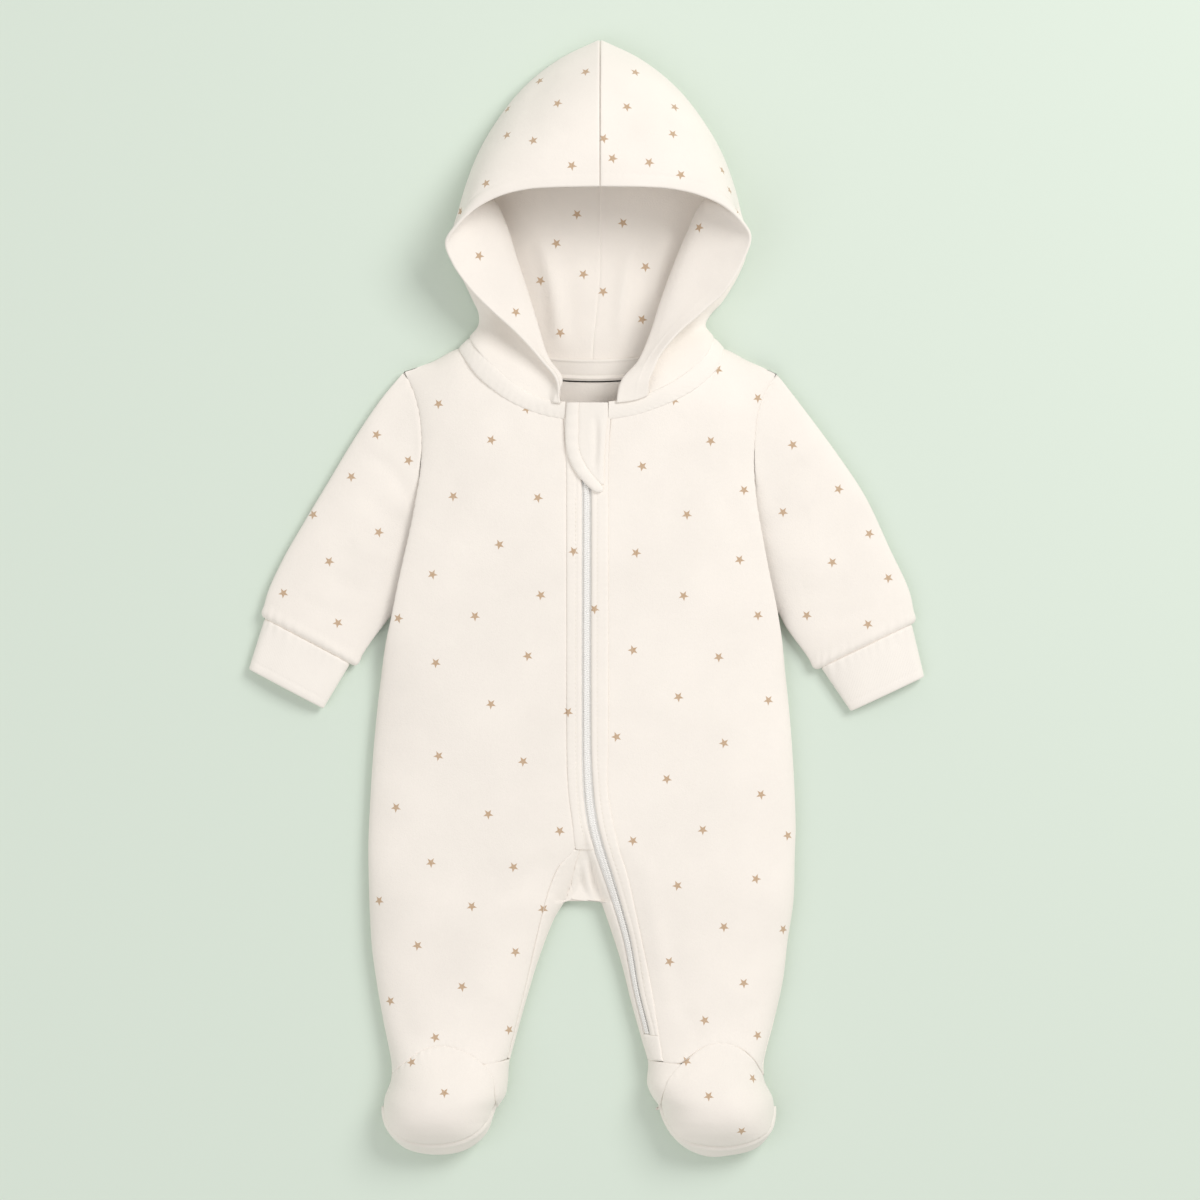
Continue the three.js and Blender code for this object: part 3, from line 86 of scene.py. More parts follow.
def through(rows):
    """A smooth value through rows of (where, value): cubic Hermite pieces, level beyond the ends."""
    table = np.array(sorted(rows), float)
    where, value = table[:, 0], table[:, 1]
    before = np.maximum(np.arange(len(where)) - 1, 0)
    after = np.minimum(np.arange(len(where)) + 1, len(where) - 1)
    slope = (value[after] - value[before]) / (where[after] - where[before])

    def at(x):
        x = np.clip(x, where[0], where[-1])
        i = np.clip(np.searchsorted(where, x, side="right") - 1, 0, len(where) - 2)
        span = where[i + 1] - where[i]
        t = (x - where[i]) / span
        sway = span * t * (1 - t) * ((1 - t) * slope[i] - t * slope[i + 1])
        return value[i] * (1 + 2 * t) * (1 - t) ** 2 + value[i + 1] * t * t * (3 - 2 * t) + sway

    return at


def spline(points, at):
    """Centripetal Catmull-Rom curves through points (..., n, 3), at places from 0 to n - 1."""
    points = np.asarray(points, float)
    first = 2 * points[..., :1, :] - points[..., 1:2, :]
    last = 2 * points[..., -1:, :] - points[..., -2:-1, :]
    p = np.concatenate([first, points, last], axis=-2)
    gaps = np.maximum(np.sum(np.diff(p, axis=-2) ** 2, axis=-1, keepdims=True) ** 0.25, 1e-4)
    at = np.asarray(at, float)
    i = np.clip(np.floor(at).astype(int), 0, points.shape[-2] - 2)
    t = (at - i)[:, None]
    p0, p1, p2, p3 = (p[..., i + k, :] for k in range(4))
    d0, d1, d2 = (gaps[..., i + k, :] for k in range(3))
    t1 = ((p1 - p0) / d0 - (p2 - p0) / (d0 + d1) + (p2 - p1) / d1) * d1
    t2 = ((p2 - p1) / d1 - (p3 - p1) / (d1 + d2) + (p3 - p2) / d2) * d1
    return p1 + t * (t1 + t * ((-3 * p1 + 3 * p2 - 2 * t1 - t2) + t * (2 * p1 - 2 * p2 + t1 + t2)))


def line(points):
    """A smooth plan line through (x, y) points, by its share of the length: returns x and y."""
    flat = np.array([(x, y, 0.0) for x, y in points])
    dense = spline(flat, np.linspace(0, len(flat) - 1, 600))
    length = np.concatenate([[0], np.cumsum(np.linalg.norm(np.diff(dense, axis=0), axis=1))])
    share = length / length[-1]
    return lambda t: (np.interp(t, share, dense[:, 0]), np.interp(t, share, dense[:, 1]))


# Body, leg and foot outline seen from above: y, then x.
RIGHT_SIDE = through([
    (145, -118.6), (132, -112.5), (115.7, -108.5), (97, -107.2), (78, -108.5), (64, -110.8), (46.8, -113.9),
    (12, -121.7), (-13, -126.8), (-41.6, -132), (-93.6, -137.8), (-145.6, -141.1), (-171.6, -141.7),
    (-223.6, -139.8), (-249.6, -136.5), (-275.6, -132), (-302.9, -126.8), (-314, -127.2), (-326, -131.3),
    (-340, -132)])
LEFT_SIDE = through([
    (143.7, 122.9), (128.7, 114.4), (115.7, 110.5), (100.1, 108.9), (84.5, 108.4), (62.4, 109.9),
    (46.1, 112.5), (15, 118.3), (-11.7, 123.9), (-41.6, 127.7), (-93.6, 132.6), (-145.6, 135.2),
    (-171.6, 134.6), (-197.6, 133.9), (-223.6, 130), (-249.6, 126.8), (-275.6, 120.9), (-302.9, 114.1),
    (-314, 115), (-326, 120.5), (-342, 121.5)])
RIGHT_INSEAM = through([
    (-160, -3), (-190, -12.5), (-198, -15), (-210.6, -22.1), (-236.6, -31.9), (-262.6, -39.7),
    (-288.6, -46.8), (-303, -50.4), (-316, -51.4), (-324, -53), (-332, -58), (-340, -60.5)])
LEFT_INSEAM = through([
    (-160, -1), (-190, 7.5), (-198, 9.4), (-210.6, 13.7), (-236.6, 22.1), (-262.6, 28.6),
    (-288.6, 35.8), (-303, 39.6), (-316, 39), (-324, 42), (-332, 47.5), (-342, 50)])
SHOULDER = through([
    (-118.6, 145), (-100, 152.6), (-82, 161), (3, 170), (88, 161), (105, 152.5), (122.9, 143.7)])

# Heights by y: the body's edge over the sleeves, its top, and the legs and feet.
SIDE_Z = through([
    (145, SEAM_Z), (130, 11), (115, 13.5), (97, 14.5), (78, 15), (60, 16.5), (40, 17), (12, 16.5),
    (-13, 14.5), (-30, 11.5), (-45, 8.2), (-62, SEAM_Z)])
TORSO_Z = through([
    (160, TORSO_LOFT), (50, TORSO_LOFT), (-60, TORSO_LOFT - 1), (-150, TORSO_LOFT - 2),
    (-200, TORSO_LOFT - 3)])
LEG_Z = through([
    (-150, 22), (-200, 22), (-250, 20.5), (-280, 21), (-292, 23.5), (-303, 29), (-316, 36), (-328, 39.5),
    (-338, 38.5), (-346, 34), (-352, 28), (-357, 22)])


def rounded(t, power, share):
    """A dome over t from 0 to 1: (1 - |2t - 1| to the power) to the share."""
    return np.maximum(1 - np.abs(2 * t - 1) ** power, 0) ** share


def roll(distance, reach):
    """A quarter circle: 0 at distance 0, rising upright and level with 1 at the reach."""
    return np.sqrt(1 - (1 - np.clip(distance / reach, 0, 1)) ** 2)


def seam_level(x, y):
    """Height of the front's lowest line: the side seam's, lower where the shoulder seam meets the back."""
    inside = 1 - smooth(*SHOULDER_DROP_ENDS, np.abs(x - SHOULDER_MIDDLE))
    return SEAM_Z - SHOULDER_DROP * inside * (1 - roll(SHOULDER(x) - y, SHOULDER_DROP_REACH))


def front_height(x, y):
    """Height of the front's upper face: a dome across the body that turns into one for each leg below
    the crotch, rolled down to the seams at the shoulders and the crotch."""
    across = (x - RIGHT_SIDE(y)) / (LEFT_SIDE(y) - RIGHT_SIDE(y))
    side = SIDE_Z(y)
    soft = lerp(0.5, 0.62, smooth(-60, 20, y))
    body = side + (TORSO_Z(y) - side) * rounded(np.clip(across, 0, 1), 2.5, soft)
    low = np.where(x < CROTCH_X, RIGHT_SIDE(y), LEFT_INSEAM(y))
    high = np.where(x < CROTCH_X, RIGHT_INSEAM(y), LEFT_SIDE(y))
    leg = SEAM_Z + (LEG_Z(y) - SEAM_Z) * rounded(np.clip((x - low) / (high - low), 0, 1), 2.5, 0.5)
    open_height = lerp(body, leg, smooth(-145, CROTCH_Y, y))
    above = roll(SHOULDER(x) - y, SHOULDER_ROLL)
    aside = np.maximum(np.abs(x - CROTCH_X) - CROTCH_HALF, 0)
    fork = np.where(y > CROTCH_Y, roll(np.hypot(aside, y - CROTCH_Y), CROTCH_ROLL), 1)
    return seam_level(x, y) + (open_height - SEAM_Z) * above * fork


def front_normal(x, y):
    """The front's outward direction, from its slopes over a step either way."""
    step = 0.4
    dx = (front_height(x + step, y) - front_height(x - step, y)) / (2 * step)
    dy = (front_height(x, y + step) - front_height(x, y - step)) / (2 * step)
    return unit(np.stack([-dx, -dy, np.ones_like(dx)], -1))


def back_height(x, y):
    """Height of the back's lower face: on the surface, and rolled up to the seams at its edges."""
    rolled = 1 - smooth(-62, -30, y)
    side = np.minimum(x - RIGHT_SIDE(y), LEFT_SIDE(y) - x)
    aside = np.maximum(np.abs(x - CROTCH_X) - CROTCH_HALF, 0)
    inner = np.where(x < CROTCH_X, RIGHT_INSEAM(y) - x, x - LEFT_INSEAM(y))
    fork = np.where(y > CROTCH_Y, np.hypot(aside, y - CROTCH_Y), inner)
    above = (SHOULDER(x) - y) * 1.05
    from_side = np.where(rolled > 0.01, side / np.maximum(rolled, 0.01), EDGE_ROLL)
    nearest = np.minimum(np.minimum(from_side, fork), above)
    rise = np.where((rolled > 0.01) | (nearest == fork), 1, 0)
    return (SEAM_Z - SEAM_GAP) * rise * (1 - roll(nearest, EDGE_ROLL))


def unit(v):
    """Vectors of length 1."""
    return v / np.maximum(np.linalg.norm(v, axis=-1, keepdims=True), 1e-9)


def stops(length, count, fine=(0.25, 0.6, 1.1, 1.8, 2.8, 4.2), start=True, end=True):
    """Shares of a length from 0 to 1: even steps, and finer ones near the ends, given in mm."""
    even = np.linspace(0, 1, count + 1)
    near = np.array(fine) / length
    low, high = (near[-1] if start else -1, 1 - near[-1] if end else 2)
    kept = even[(even > low * 1.25) & (even < high - low * 0.25 * (high < 2))]
    parts = [[0.0], near if start else [], kept, 1 - near[::-1] if end else [], [1.0]]
    return np.unique(np.concatenate([np.asarray(p, float) for p in parts]))


def grid_cells(rows, columns, closed=False):
    """Four corner numbers for each cell of a grid; a closed grid joins its last column to its first."""
    r = np.arange(rows - 1)[:, None]
    c = np.arange(columns if closed else columns - 1)[None, :]
    nxt = (c + 1) % columns
    cells = np.stack([r * columns + c, r * columns + nxt, (r + 1) * columns + nxt, (r + 1) * columns + c], -1)
    return cells.reshape(-1, 4)


def cell_directions(points, cells):
    """Each cell's direction, as long as twice its area: the cross product of its diagonals."""
    a, b, c, d = (points[cells[:, k]] for k in range(4))
    return np.cross(c - a, d - b)


def sheet_normals(points, cells):
    """The outward direction at each point: the mean of its cells' directions."""
    normals = np.zeros_like(points)
    facing = cell_directions(points, cells)
    for k in range(4):
        np.add.at(normals, cells[:, k], facing)
    return unit(normals)


def edge_distances(grid, closed=False):
    """For each point of a grid (rows, columns, 3), how far it lies along the cloth, in mm, from the
    first row, the last row, the first column and the last column."""
    down = np.linalg.norm(np.diff(grid, axis=0), axis=-1)
    down = np.concatenate([np.zeros((1, grid.shape[1])), np.cumsum(down, axis=0)])
    across = np.linalg.norm(np.diff(grid, axis=1), axis=-1)
    across = np.concatenate([np.zeros((grid.shape[0], 1)), np.cumsum(across, axis=1)], axis=1)
    far = np.full(grid.shape[:2], 1e6)
    sides = (far, far) if closed else (across, across[:, -1:] - across)
    return down, down[-1:] - down, sides[0], sides[1], across


def spread(grid, amounts, closed=False, reach=2.4):
    """Moves the borders of a grid outward along the cloth, so that neighbouring pieces meet at a seam.
    amounts are for the first row, the last row, the first column and the last column."""
    top, bottom, first, last, _ = edge_distances(grid, closed)
    moved = grid.copy()
    ways = (grid[:1] - grid[3:4], grid[-1:] - grid[-4:-3], grid[:, :1] - grid[:, 3:4],
            grid[:, -1:] - grid[:, -4:-3])
    for distance, way, amount in zip((top, bottom, first, last), ways, amounts):
        if amount:
            moved += unit(way) * (amount * (1 - smooth(0, reach, distance)))[..., None]
    return moved


def seam_dip(distance, depth=0.75, reach=1.9):
    """How far cloth turns down beside a seam: depth at the seam, none from the reach on."""
    return -depth * (1 - roll(distance, reach))


def puckers(along, distance, size=0.16, pitch=5.2, reach=4.5, seed=0.0):
    """Small uneven waves along a seam that die away from it: a sine whose phase wanders."""
    wander = 1.7 * np.sin(along / 17.3 + seed) + 1.1 * np.sin(along / 7.9 + 2.3 * seed + 1)
    strength = 0.62 + 0.38 * np.sin(along / 23.7 + 1.9 * seed)
    return size * strength * np.sin(2 * math.pi * along / pitch + wander) * np.exp(-((distance / reach) ** 2))


def drift(x, y, size=0.35, seed=0.0):
    """Slow unevenness of soft cloth: the sum of four long sine waves in different directions."""
    waves = ((61, 0.9, 0.0), (83, 2.2, 1.3), (47, -0.5, 2.1), (109, 1.4, 4.0))
    total = np.zeros_like(x)
    for length, turn, phase in waves:
        total += np.sin(2 * math.pi * (x * math.cos(turn) + y * math.sin(turn)) / length + phase + seed)
    return size * total / len(waves)


def creases(x, y, rows):
    """Soft troughs and ridges along short plan lines. Each row is from x, y, to x, y, width, height (below
    0 a trough) and bow, how far its middle bends aside; the cross section is a bell, the ends fade."""
    total = np.zeros_like(x)
    for x0, y0, x1, y1, width, height, bow in rows:
        length = math.hypot(x1 - x0, y1 - y0)
        ax, ay = (x1 - x0) / length, (y1 - y0) / length
        along = ((x - x0) * ax + (y - y0) * ay) / length
        inside = np.clip(along, 0, 1)
        aside = -(x - x0) * ay + (y - y0) * ax - bow * 4 * inside * (1 - inside)
        past = np.abs(along - inside) * length
        fade = np.sqrt(np.clip(4 * inside * (1 - inside), 0, 1)) * 0.75 + 0.25
        total += height * fade * np.exp(-((aside / width) ** 2) - (past / (1.2 * width)) ** 2)
    return total


PIECES = {}


def seated(grid, curve, rise=1.4, over=0.6, reach=7.0):
    """Moves a grid's first row onto the nearest places of a curve and a little past it, and less high
    above it than the rise. The move fades out over the reach down the grid."""
    start = grid[0]
    way = curve[np.argmin(np.linalg.norm(start[:, None] - curve[None], axis=-1), axis=1)] - start
    height = -way[:, 2]
    way[:, 2] += np.clip(height, -rise, rise)
    way[:, :2] += unit(way[:, :2]) * over * smooth(0.3, 1.5, np.linalg.norm(way[:, :2], axis=-1))[:, None]
    down = edge_distances(grid)[0]
    return grid + way[None] * (1 - smooth(0, reach, down))[..., None]


def wall(name, outer, inner, cells, look, row_along, column_along):
    """Keeps a closed wall between two faces of the same cells, with a rim where a cell has no neighbour.
    row_along and column_along are distances along the cloth at each point, for the weave."""
    outer, inner = outer.reshape(-1, 3), inner.reshape(-1, 3)
    count = len(outer)
    starts, ends = cells.reshape(-1), np.roll(cells, -1, axis=1).reshape(-1)
    lone = ~np.isin(starts * count + ends, ends * count + starts)
    rim_from, rim_to = starts[lone], ends[lone]
    rim = np.stack([rim_to, rim_from, rim_from + count, rim_to + count], -1)
    quads = np.concatenate([cells, cells[:, ::-1] + count, rim])
    points = np.concatenate([outer, inner])
    direction = cell_directions(points, quads)
    if np.sum(points[quads[:, 0]] * direction) < 0:
        quads = quads[:, ::-1]
    weave = np.stack([np.ravel(column_along), np.ravel(row_along)], -1)
    PIECES[name] = {"points": points, "quads": quads, "weave": np.concatenate([weave, weave]), "look": look}


def thickened(name, grid, thickness, look, inward=1, relief=0.0, closed=False, round_ends=(),
              meets=(0, 0, 0, 0)):
    """A wall from a grid of outer points. relief moves the outer face along its direction. A free edge
    named in round_ends (top, bottom, first, last) is rounded to a half circle about the cloth's middle."""
    rows, columns = grid.shape[:2]
    cells = grid_cells(rows, columns, closed)
    grid = spread(grid, meets, closed)
    normals = sheet_normals(grid.reshape(-1, 3), cells).reshape(grid.shape) * inward
    top, bottom, first, last, across = edge_distances(grid, closed)
    far = {"top": top, "bottom": bottom, "first": first, "last": last}
    nearest = np.full(grid.shape[:2], 1e6)
    for edge in round_ends:
        nearest = np.minimum(nearest, far[edge])
    half = thickness / 2 * np.maximum(roll(nearest, thickness / 2), 0.06)
    middle = grid - normals * thickness / 2
    outer = middle + normals * (half + relief)[..., None]
    inner = middle - normals * half[..., None]
    inner += normals * (0.6 * np.minimum(relief, 0) * np.ones(grid.shape[:2]))[..., None]
    outer[..., 2] = np.maximum(outer[..., 2], 0)
    inner[..., 2] = np.maximum(inner[..., 2], 0)
    wall(name, outer, inner, cells, look, top, across)


def front_grid(name, plan, us, vs, look, lift=0.0, thickness=CLOTH, relief=None, meets=(0.3, 0.3, 0.3, 0.3)):
    """A piece that lies on the front. plan turns shares across and down into x, y and, at a seam, a level
    outward direction. Both faces follow front_height, lifted off it along its direction."""
    v, u = np.meshgrid(vs, us, indexing="ij")
    x, y, level = plan(u, v)
    base = spread(np.stack([x, y, front_height(x, y)], -1), meets)
    facing = front_normal(x, y)
    if level is not None:
        used = np.linalg.norm(level, axis=-1, keepdims=True) > 0
        facing = np.where(used, unit(level), facing)
    top, bottom, first, last, across = edge_distances(base)
    extra = 0.0 if relief is None else relief(x, y, top, bottom, first, last, across)
    outer = base + facing * (lift + extra * np.ones_like(x))[..., None]
    inner = base + facing * (lift - thickness + 0.5 * np.minimum(extra, 0) * np.ones_like(x))[..., None]
    lowest = seam_level(x, y)
    outer[..., 2] = np.maximum(outer[..., 2], lowest + THINNEST)
    inner[..., 2] = np.maximum(inner[..., 2], lowest)
    wall(name, outer, inner, grid_cells(len(vs), len(us)), look, top, across)


# Fronts. The neck and shoulder seams are their top, the side seam and the armhole their outer edge.
NECK_CORNER = 0.7
FRONTS = {
    "right": {
        "side": RIGHT_SIDE, "top": 145, "bottom": -309, "inner_top": 116.4, "inner_bottom": -299.5,
        "inner": through([
            (116.4, -15.6), (94, -13.8), (49, -13.4), (-106.6, -13.2), (-125.5, -12.2), (-146.2, -9.6),
            (-163, -7.6), (-169, -12), (-175.5, -18.6), (-189.2, -24.5), (-205.4, -29), (-252.9, -40),
            (-299.5, -51.2)]),
        "neck": line([(-15.6, 115.2), (-28.4, 118.2), (-46.3, 125.1), (-57.2, 132.1), (-69.2, 142),
                      (-77.2, 153), (-81.6, 161)]),
        "toe": line([(-51.2, -299.5), (-66, -301.5), (-74.8, -296), (-90.6, -290.2), (-105, -292.5),
                     (-119, -301.5), (-126.6, -309)]),
    },
    "left": {
        "side": LEFT_SIDE, "top": 143.7, "bottom": -310, "inner_top": 116.4, "inner_bottom": -301,
        "inner": through([
            (116.4, 15.9), (94, 14.2), (49, 14), (-93.6, 14), (-125.5, 13.6), (-159.2, 19.6),
            (-177.5, 25.4), (-208, 32.6), (-247, 40.4), (-284.7, 46.4), (-301, 49.2)]),
        "neck": line([(15.9, 115.2), (31.9, 118.2), (43.7, 122.2), (57.7, 128.1), (71.5, 136.1),
                      (84.5, 147), (88, 160.6)]),
        "toe": line([(49.2, -301), (60, -300.5), (66, -296.5), (76, -290.5), (87, -288.6), (99.5, -291.9),
                     (109, -300), (114.6, -310)]),
    },
}
# Soft creases of the fronts: from x, y, to x, y, width, height, bow.
FRONT_CREASES = [
    (-24, -166, -58, -196, 7, -0.9, 3), (-18, -158, -62, -172, 9, 0.7, 2), (24, -158, 52, -190, 8, 0.9, -3),
    (38, -186, 52, -262, 7, 1.1, 2), (50, -214, 64, -272, 8, -0.7, -2),
    (-60, -262, -70, -290, 7, -0.7, 2), (-120, -262, -108, -292, 7, -0.6, -2),
    (62, -268, 72, -290, 6, -0.7, 2), (108, -262, 98, -288, 6, -0.7, -2),
    (-104, 40, -84, 76, 9, -0.8, -3), (104, 38, 86, 74, 9, -0.8, 3),
    (-106, 12, -78, 30, 11, 0.6, 2), (106, 10, 80, 28, 11, 0.6, -2),
    (-58, 122, -44, 96, 8, -0.5, 2), (62, 118, 48, 92, 8, -0.5, -2),
    (-100, -60, -60, -110, 16, 0.5, 5), (96, -70, 60, -120, 16, 0.5, -5),
]


def front_plan(front):
    """Plan map of a front: its height runs from seam to seam, eased onto the neckline at the top and
    onto the toe-cap seam at the bottom."""
    side, sign = front["side"], math.copysign(1, float(front["side"](0)))
    neck_x, _ = front["neck"](1.0)

    def top(u):
        shoulder_x = lerp(neck_x, side(front["top"]), np.clip((u - NECK_CORNER) / (1 - NECK_CORNER), 0, 1))
        on_neck_x, on_neck_y = front["neck"](np.clip(u / NECK_CORNER, 0, 1))
        on_neck = u <= NECK_CORNER
        return np.where(on_neck, on_neck_x, shoulder_x), np.where(on_neck, on_neck_y, SHOULDER(shoulder_x))

    def plan(u, v):
        inner_y = lerp(front["inner_top"], front["inner_bottom"], v)
        outer_y = lerp(front["top"], front["bottom"], v)
        x = lerp(front["inner"](inner_y), side(outer_y), u)
        y = lerp(inner_y, outer_y, u)
        near_top = np.clip(1 - v / 0.42, 0, 1) ** 2
        near_toe = np.clip(1 - (1 - v) / 0.3, 0, 1) ** 2
        tx, ty = top(u)
        bx, by = front["toe"](u)
        start_x, start_side = front["inner"](front["inner_top"]), side(front["top"])
        end_x, end_side = front["inner"](front["inner_bottom"]), side(front["bottom"])
        x = x + near_top * (tx - lerp(start_x, start_side, u)) + near_toe * (bx - lerp(end_x, end_side, u))
        y = y + near_top * (ty - lerp(front["inner_top"], front["top"], u))
        y = y + near_toe * (by - lerp(front["inner_bottom"], front["bottom"], u))
        level = np.zeros(x.shape + (3,))
        level[:, -1] = (sign, 0, 0)
        on_shoulder = u[0] > NECK_CORNER
        level[0, on_shoulder] = (sign * 0.35, 1, 0)
        level[0, -1] = (sign, 0.8, 0)
        return x, y, level

    return plan


def front_relief(seed):
    """Relief of a front: dips and puckers at its seams, its creases, and the cloth's unevenness."""
    def relief(x, y, top, bottom, first, last, across):
        armhole = smooth(-30, -5, y)
        total = seam_dip(top) + seam_dip(bottom) + seam_dip(first, 0.7, 1.8) + seam_dip(last) * armhole
        total += puckers(y, first, 0.1, 4.6, 3.5, seed)
        total += puckers(x, top, 0.14, 6.1, 4, seed + 1) + puckers(x, bottom, 0.2, 5.3, 4.5, seed + 2)
        total += puckers(y, last, 0.18, 6.7, 5, seed + 3) * armhole
        inside = smooth(0, 12, last)
        return total + (creases(x, y, FRONT_CREASES) + drift(x, y, 0.35, seed)) * inside
    return relief


FRONT_US = stops(125, 96)
FRONT_VS = stops(455, 230)
for seed, side in enumerate(("right", "left")):
    front_grid("front_" + side, front_plan(FRONTS[side]), FRONT_US, FRONT_VS, "fleece",
               relief=front_relief(seed * 2.7), meets=(1.0, 0.7, 0.4, 0.35))

# The zip. Rows by y: right placket's outer edge, the opening's two edges, left placket's outer edge.
ZIP_ROWS = [
    (121, -15.2, -3.6, 3.2, 15.5), (94, -13.4, -3.6, 3.2, 13.8), (49, -13, -3.6, 3.2, 13.6),
    (-94, -12.8, -3.6, 3.2, 13.6), (-125, -11.8, -2.9, 4.6, 13.2), (-146, -9.2, -0.4, 7.4, 16.6),
    (-164, -6.8, 4.3, 12, 20.8), (-180, 0.5, 9.6, 17, 25.8), (-203, 11, 17.4, 23.6, 31),
    (-224, 18, 23.4, 29, 35.4), (-256, 26.5, 29.6, 34.4, 41.8), (-283, 33.5, 36.4, 41, 46),
    (-300, 37.5, 39.6, 43.6, 48.7)]
RIGHT_OUTER, OPEN_RIGHT, OPEN_LEFT, LEFT_OUTER = (
    through([(row[0], row[k]) for row in ZIP_ROWS]) for k in range(1, 5))
ZIP_TOP = 119.0
ZIP_END = -284.0
PLACKET_LIFT = 0.7
TAPE_THICKNESS = 0.7
COIL_HEIGHT = 1.5
TAPE_LIFT = PLACKET_LIFT - CLOTH - 0.15
TAPE_REACH = 5.0
RIGHT_PLACKET_END = -163.4
SLIDER_END = 83.0


def zip_middle(y):
    """x of the middle of the zip opening."""
    return (OPEN_RIGHT(y) + OPEN_LEFT(y)) / 2


def strip_plan(left_edge, right_edge, top, bottom):
    """Plan map of a strip between two edges given as x by y."""
    def plan(u, v):
        y = lerp(top, bottom, v)
        return lerp(left_edge(y), right_edge(y), u), y, None
    return plan


def placket_relief(seed, opening_last):
    """Relief of a placket: a rounded edge at the zip, a dip at the seam, and a soft ridge of the fold."""
    def relief(x, y, top, bottom, first, last, across):
        seam, opening = (first, last) if opening_last else (last, first)
        total = seam_dip(seam, 0.9, 2) + seam_dip(opening, 1.1, 2.2)
        total -= 0.28 * np.exp(-(((opening - 3.6) / 0.7) ** 2))
        total += puckers(y, opening - 3.6, 0.1, 3.1, 2.4, seed) + puckers(y, seam, 0.12, 4.9, 3, seed + 2)
        return total + drift(x, y, 0.2, seed)
    return relief


front_grid("placket_right", strip_plan(RIGHT_OUTER, OPEN_RIGHT, ZIP_TOP - 4, RIGHT_PLACKET_END),
           stops(10, 14, (0.3, 0.7, 1.2)), stops(279, 260), "fleece", PLACKET_LIFT,
           relief=placket_relief(0.4, True))
front_grid("placket_left", strip_plan(OPEN_LEFT, LEFT_OUTER, ZIP_TOP - 4, ZIP_END),
           stops(10, 14, (0.3, 0.7, 1.2)), stops(400, 370), "fleece", PLACKET_LIFT,
           relief=placket_relief(1.9, False))


def patch_relief(x, y, top, bottom, first, last, across):
    """Relief of the patch below the zip: all four edges turned down."""
    return seam_dip(np.minimum(np.minimum(top, bottom), np.minimum(first, last)), 0.8, 1.8)


front_grid("zip_end_patch", strip_plan(OPEN_RIGHT, LEFT_OUTER, ZIP_END - SEAM_GAP, -300.4),
           stops(9, 16, (0.3, 0.7, 1.2)), stops(16, 20, (0.3, 0.7, 1.2)), "plain", PLACKET_LIFT,
           relief=patch_relief)


def tape_right_edge(y):
    """Outer edge of the right tape, drawn in where it runs beside the gusset."""
    return OPEN_RIGHT(y) - lerp(0.35, TAPE_REACH, smooth(-175, -150, y))


def tape_left_edge(y):
    """Outer edge of the left tape."""
    return OPEN_LEFT(y) + TAPE_REACH * smooth(-340, -160, y)


front_grid("zip_tape_right",
           strip_plan(tape_right_edge, lambda y: zip_middle(y) - 0.25, ZIP_TOP - 5, ZIP_END),
           stops(8, 8, (0.3, 0.7)), stops(398, 200), "tape", TAPE_LIFT, TAPE_THICKNESS)
front_grid("zip_tape_left", strip_plan(lambda y: zip_middle(y) + 0.25, tape_left_edge, ZIP_TOP - 5, ZIP_END),
           stops(8, 8, (0.3, 0.7)), stops(398, 200), "tape", TAPE_LIFT, TAPE_THICKNESS)

# Zip guard. Rows by y: the flap's outer edge, the binding's inner edge, the flap's inner side.
GUARD_ROWS = [
    (124.6, -12.9, -5.2, 13.3), (117.5, -13.4, -5.6, 13.4), (108, -13.8, -5.4, 12.6), (96, -13.2, -5.4, 11.4),
    (86, -10.4, -1.8, 10.8), (78, -5.8, 3.6, 10.8), (72.4, -0.6, 8.6, 10.8), (69.4, 2.4, 10.4, 11),
    (67.8, 4.4, 10, 11), (66.9, 6.2, 8.8, 11)]
GUARD_OUTER, GUARD_BOUND, GUARD_INNER = (through([(row[0], row[k]) for row in GUARD_ROWS]) for k in (1, 2, 3))
GUARD_LIFT = PLACKET_LIFT + SEAM_GAP
GUARD_CLOTH = 1.6


def guard_relief(x, y, top, bottom, first, last, across):
    """Relief of the guard: its inner side turned under, a soft fold down its length, small crinkles."""
    total = seam_dip(last, 1.3, 3.2) + seam_dip(first, 0.8, 1.8) + seam_dip(bottom, 0.8, 1.6)
    total += creases(x, y, [(5.2, 116, 4.6, 84, 2.2, -0.9, 0.8), (9.4, 114, 8.2, 80, 2, 0.6, 0.5)])
    return total + puckers(y, first, 0.12, 3.4, 3, 0.7)


def binding_relief(x, y, top, bottom, first, last, across):
    """Relief of the guard's bound edge: a plump rounded strip."""
    width = first + last
    plump = np.sqrt(np.clip(1 - (2 * first / np.maximum(width, 0.1) - 1) ** 2, 0, 1))
    plump = plump * roll(bottom, 2.6)
    return -1.3 + 1.75 * plump + 0.12 * np.sin(y / 1.35) * plump


front_grid("zip_guard", strip_plan(lambda y: GUARD_BOUND(y) + 0.15, GUARD_INNER, 124.6, 72.2),
           stops(14, 30, (0.3, 0.7, 1.2)), stops(48, 60, (0.3, 0.7, 1.2)), "plain", GUARD_LIFT + GUARD_CLOTH,
           GUARD_CLOTH, guard_relief)
front_grid("zip_guard_binding", strip_plan(GUARD_OUTER, GUARD_BOUND, 124.6, 66.9),
           stops(7, 22, (0.2, 0.5)), stops(50, 90, (0.3, 0.7)), "plain", GUARD_LIFT + GUARD_CLOTH + 0.4,
           GUARD_CLOTH + 0.4, binding_relief)

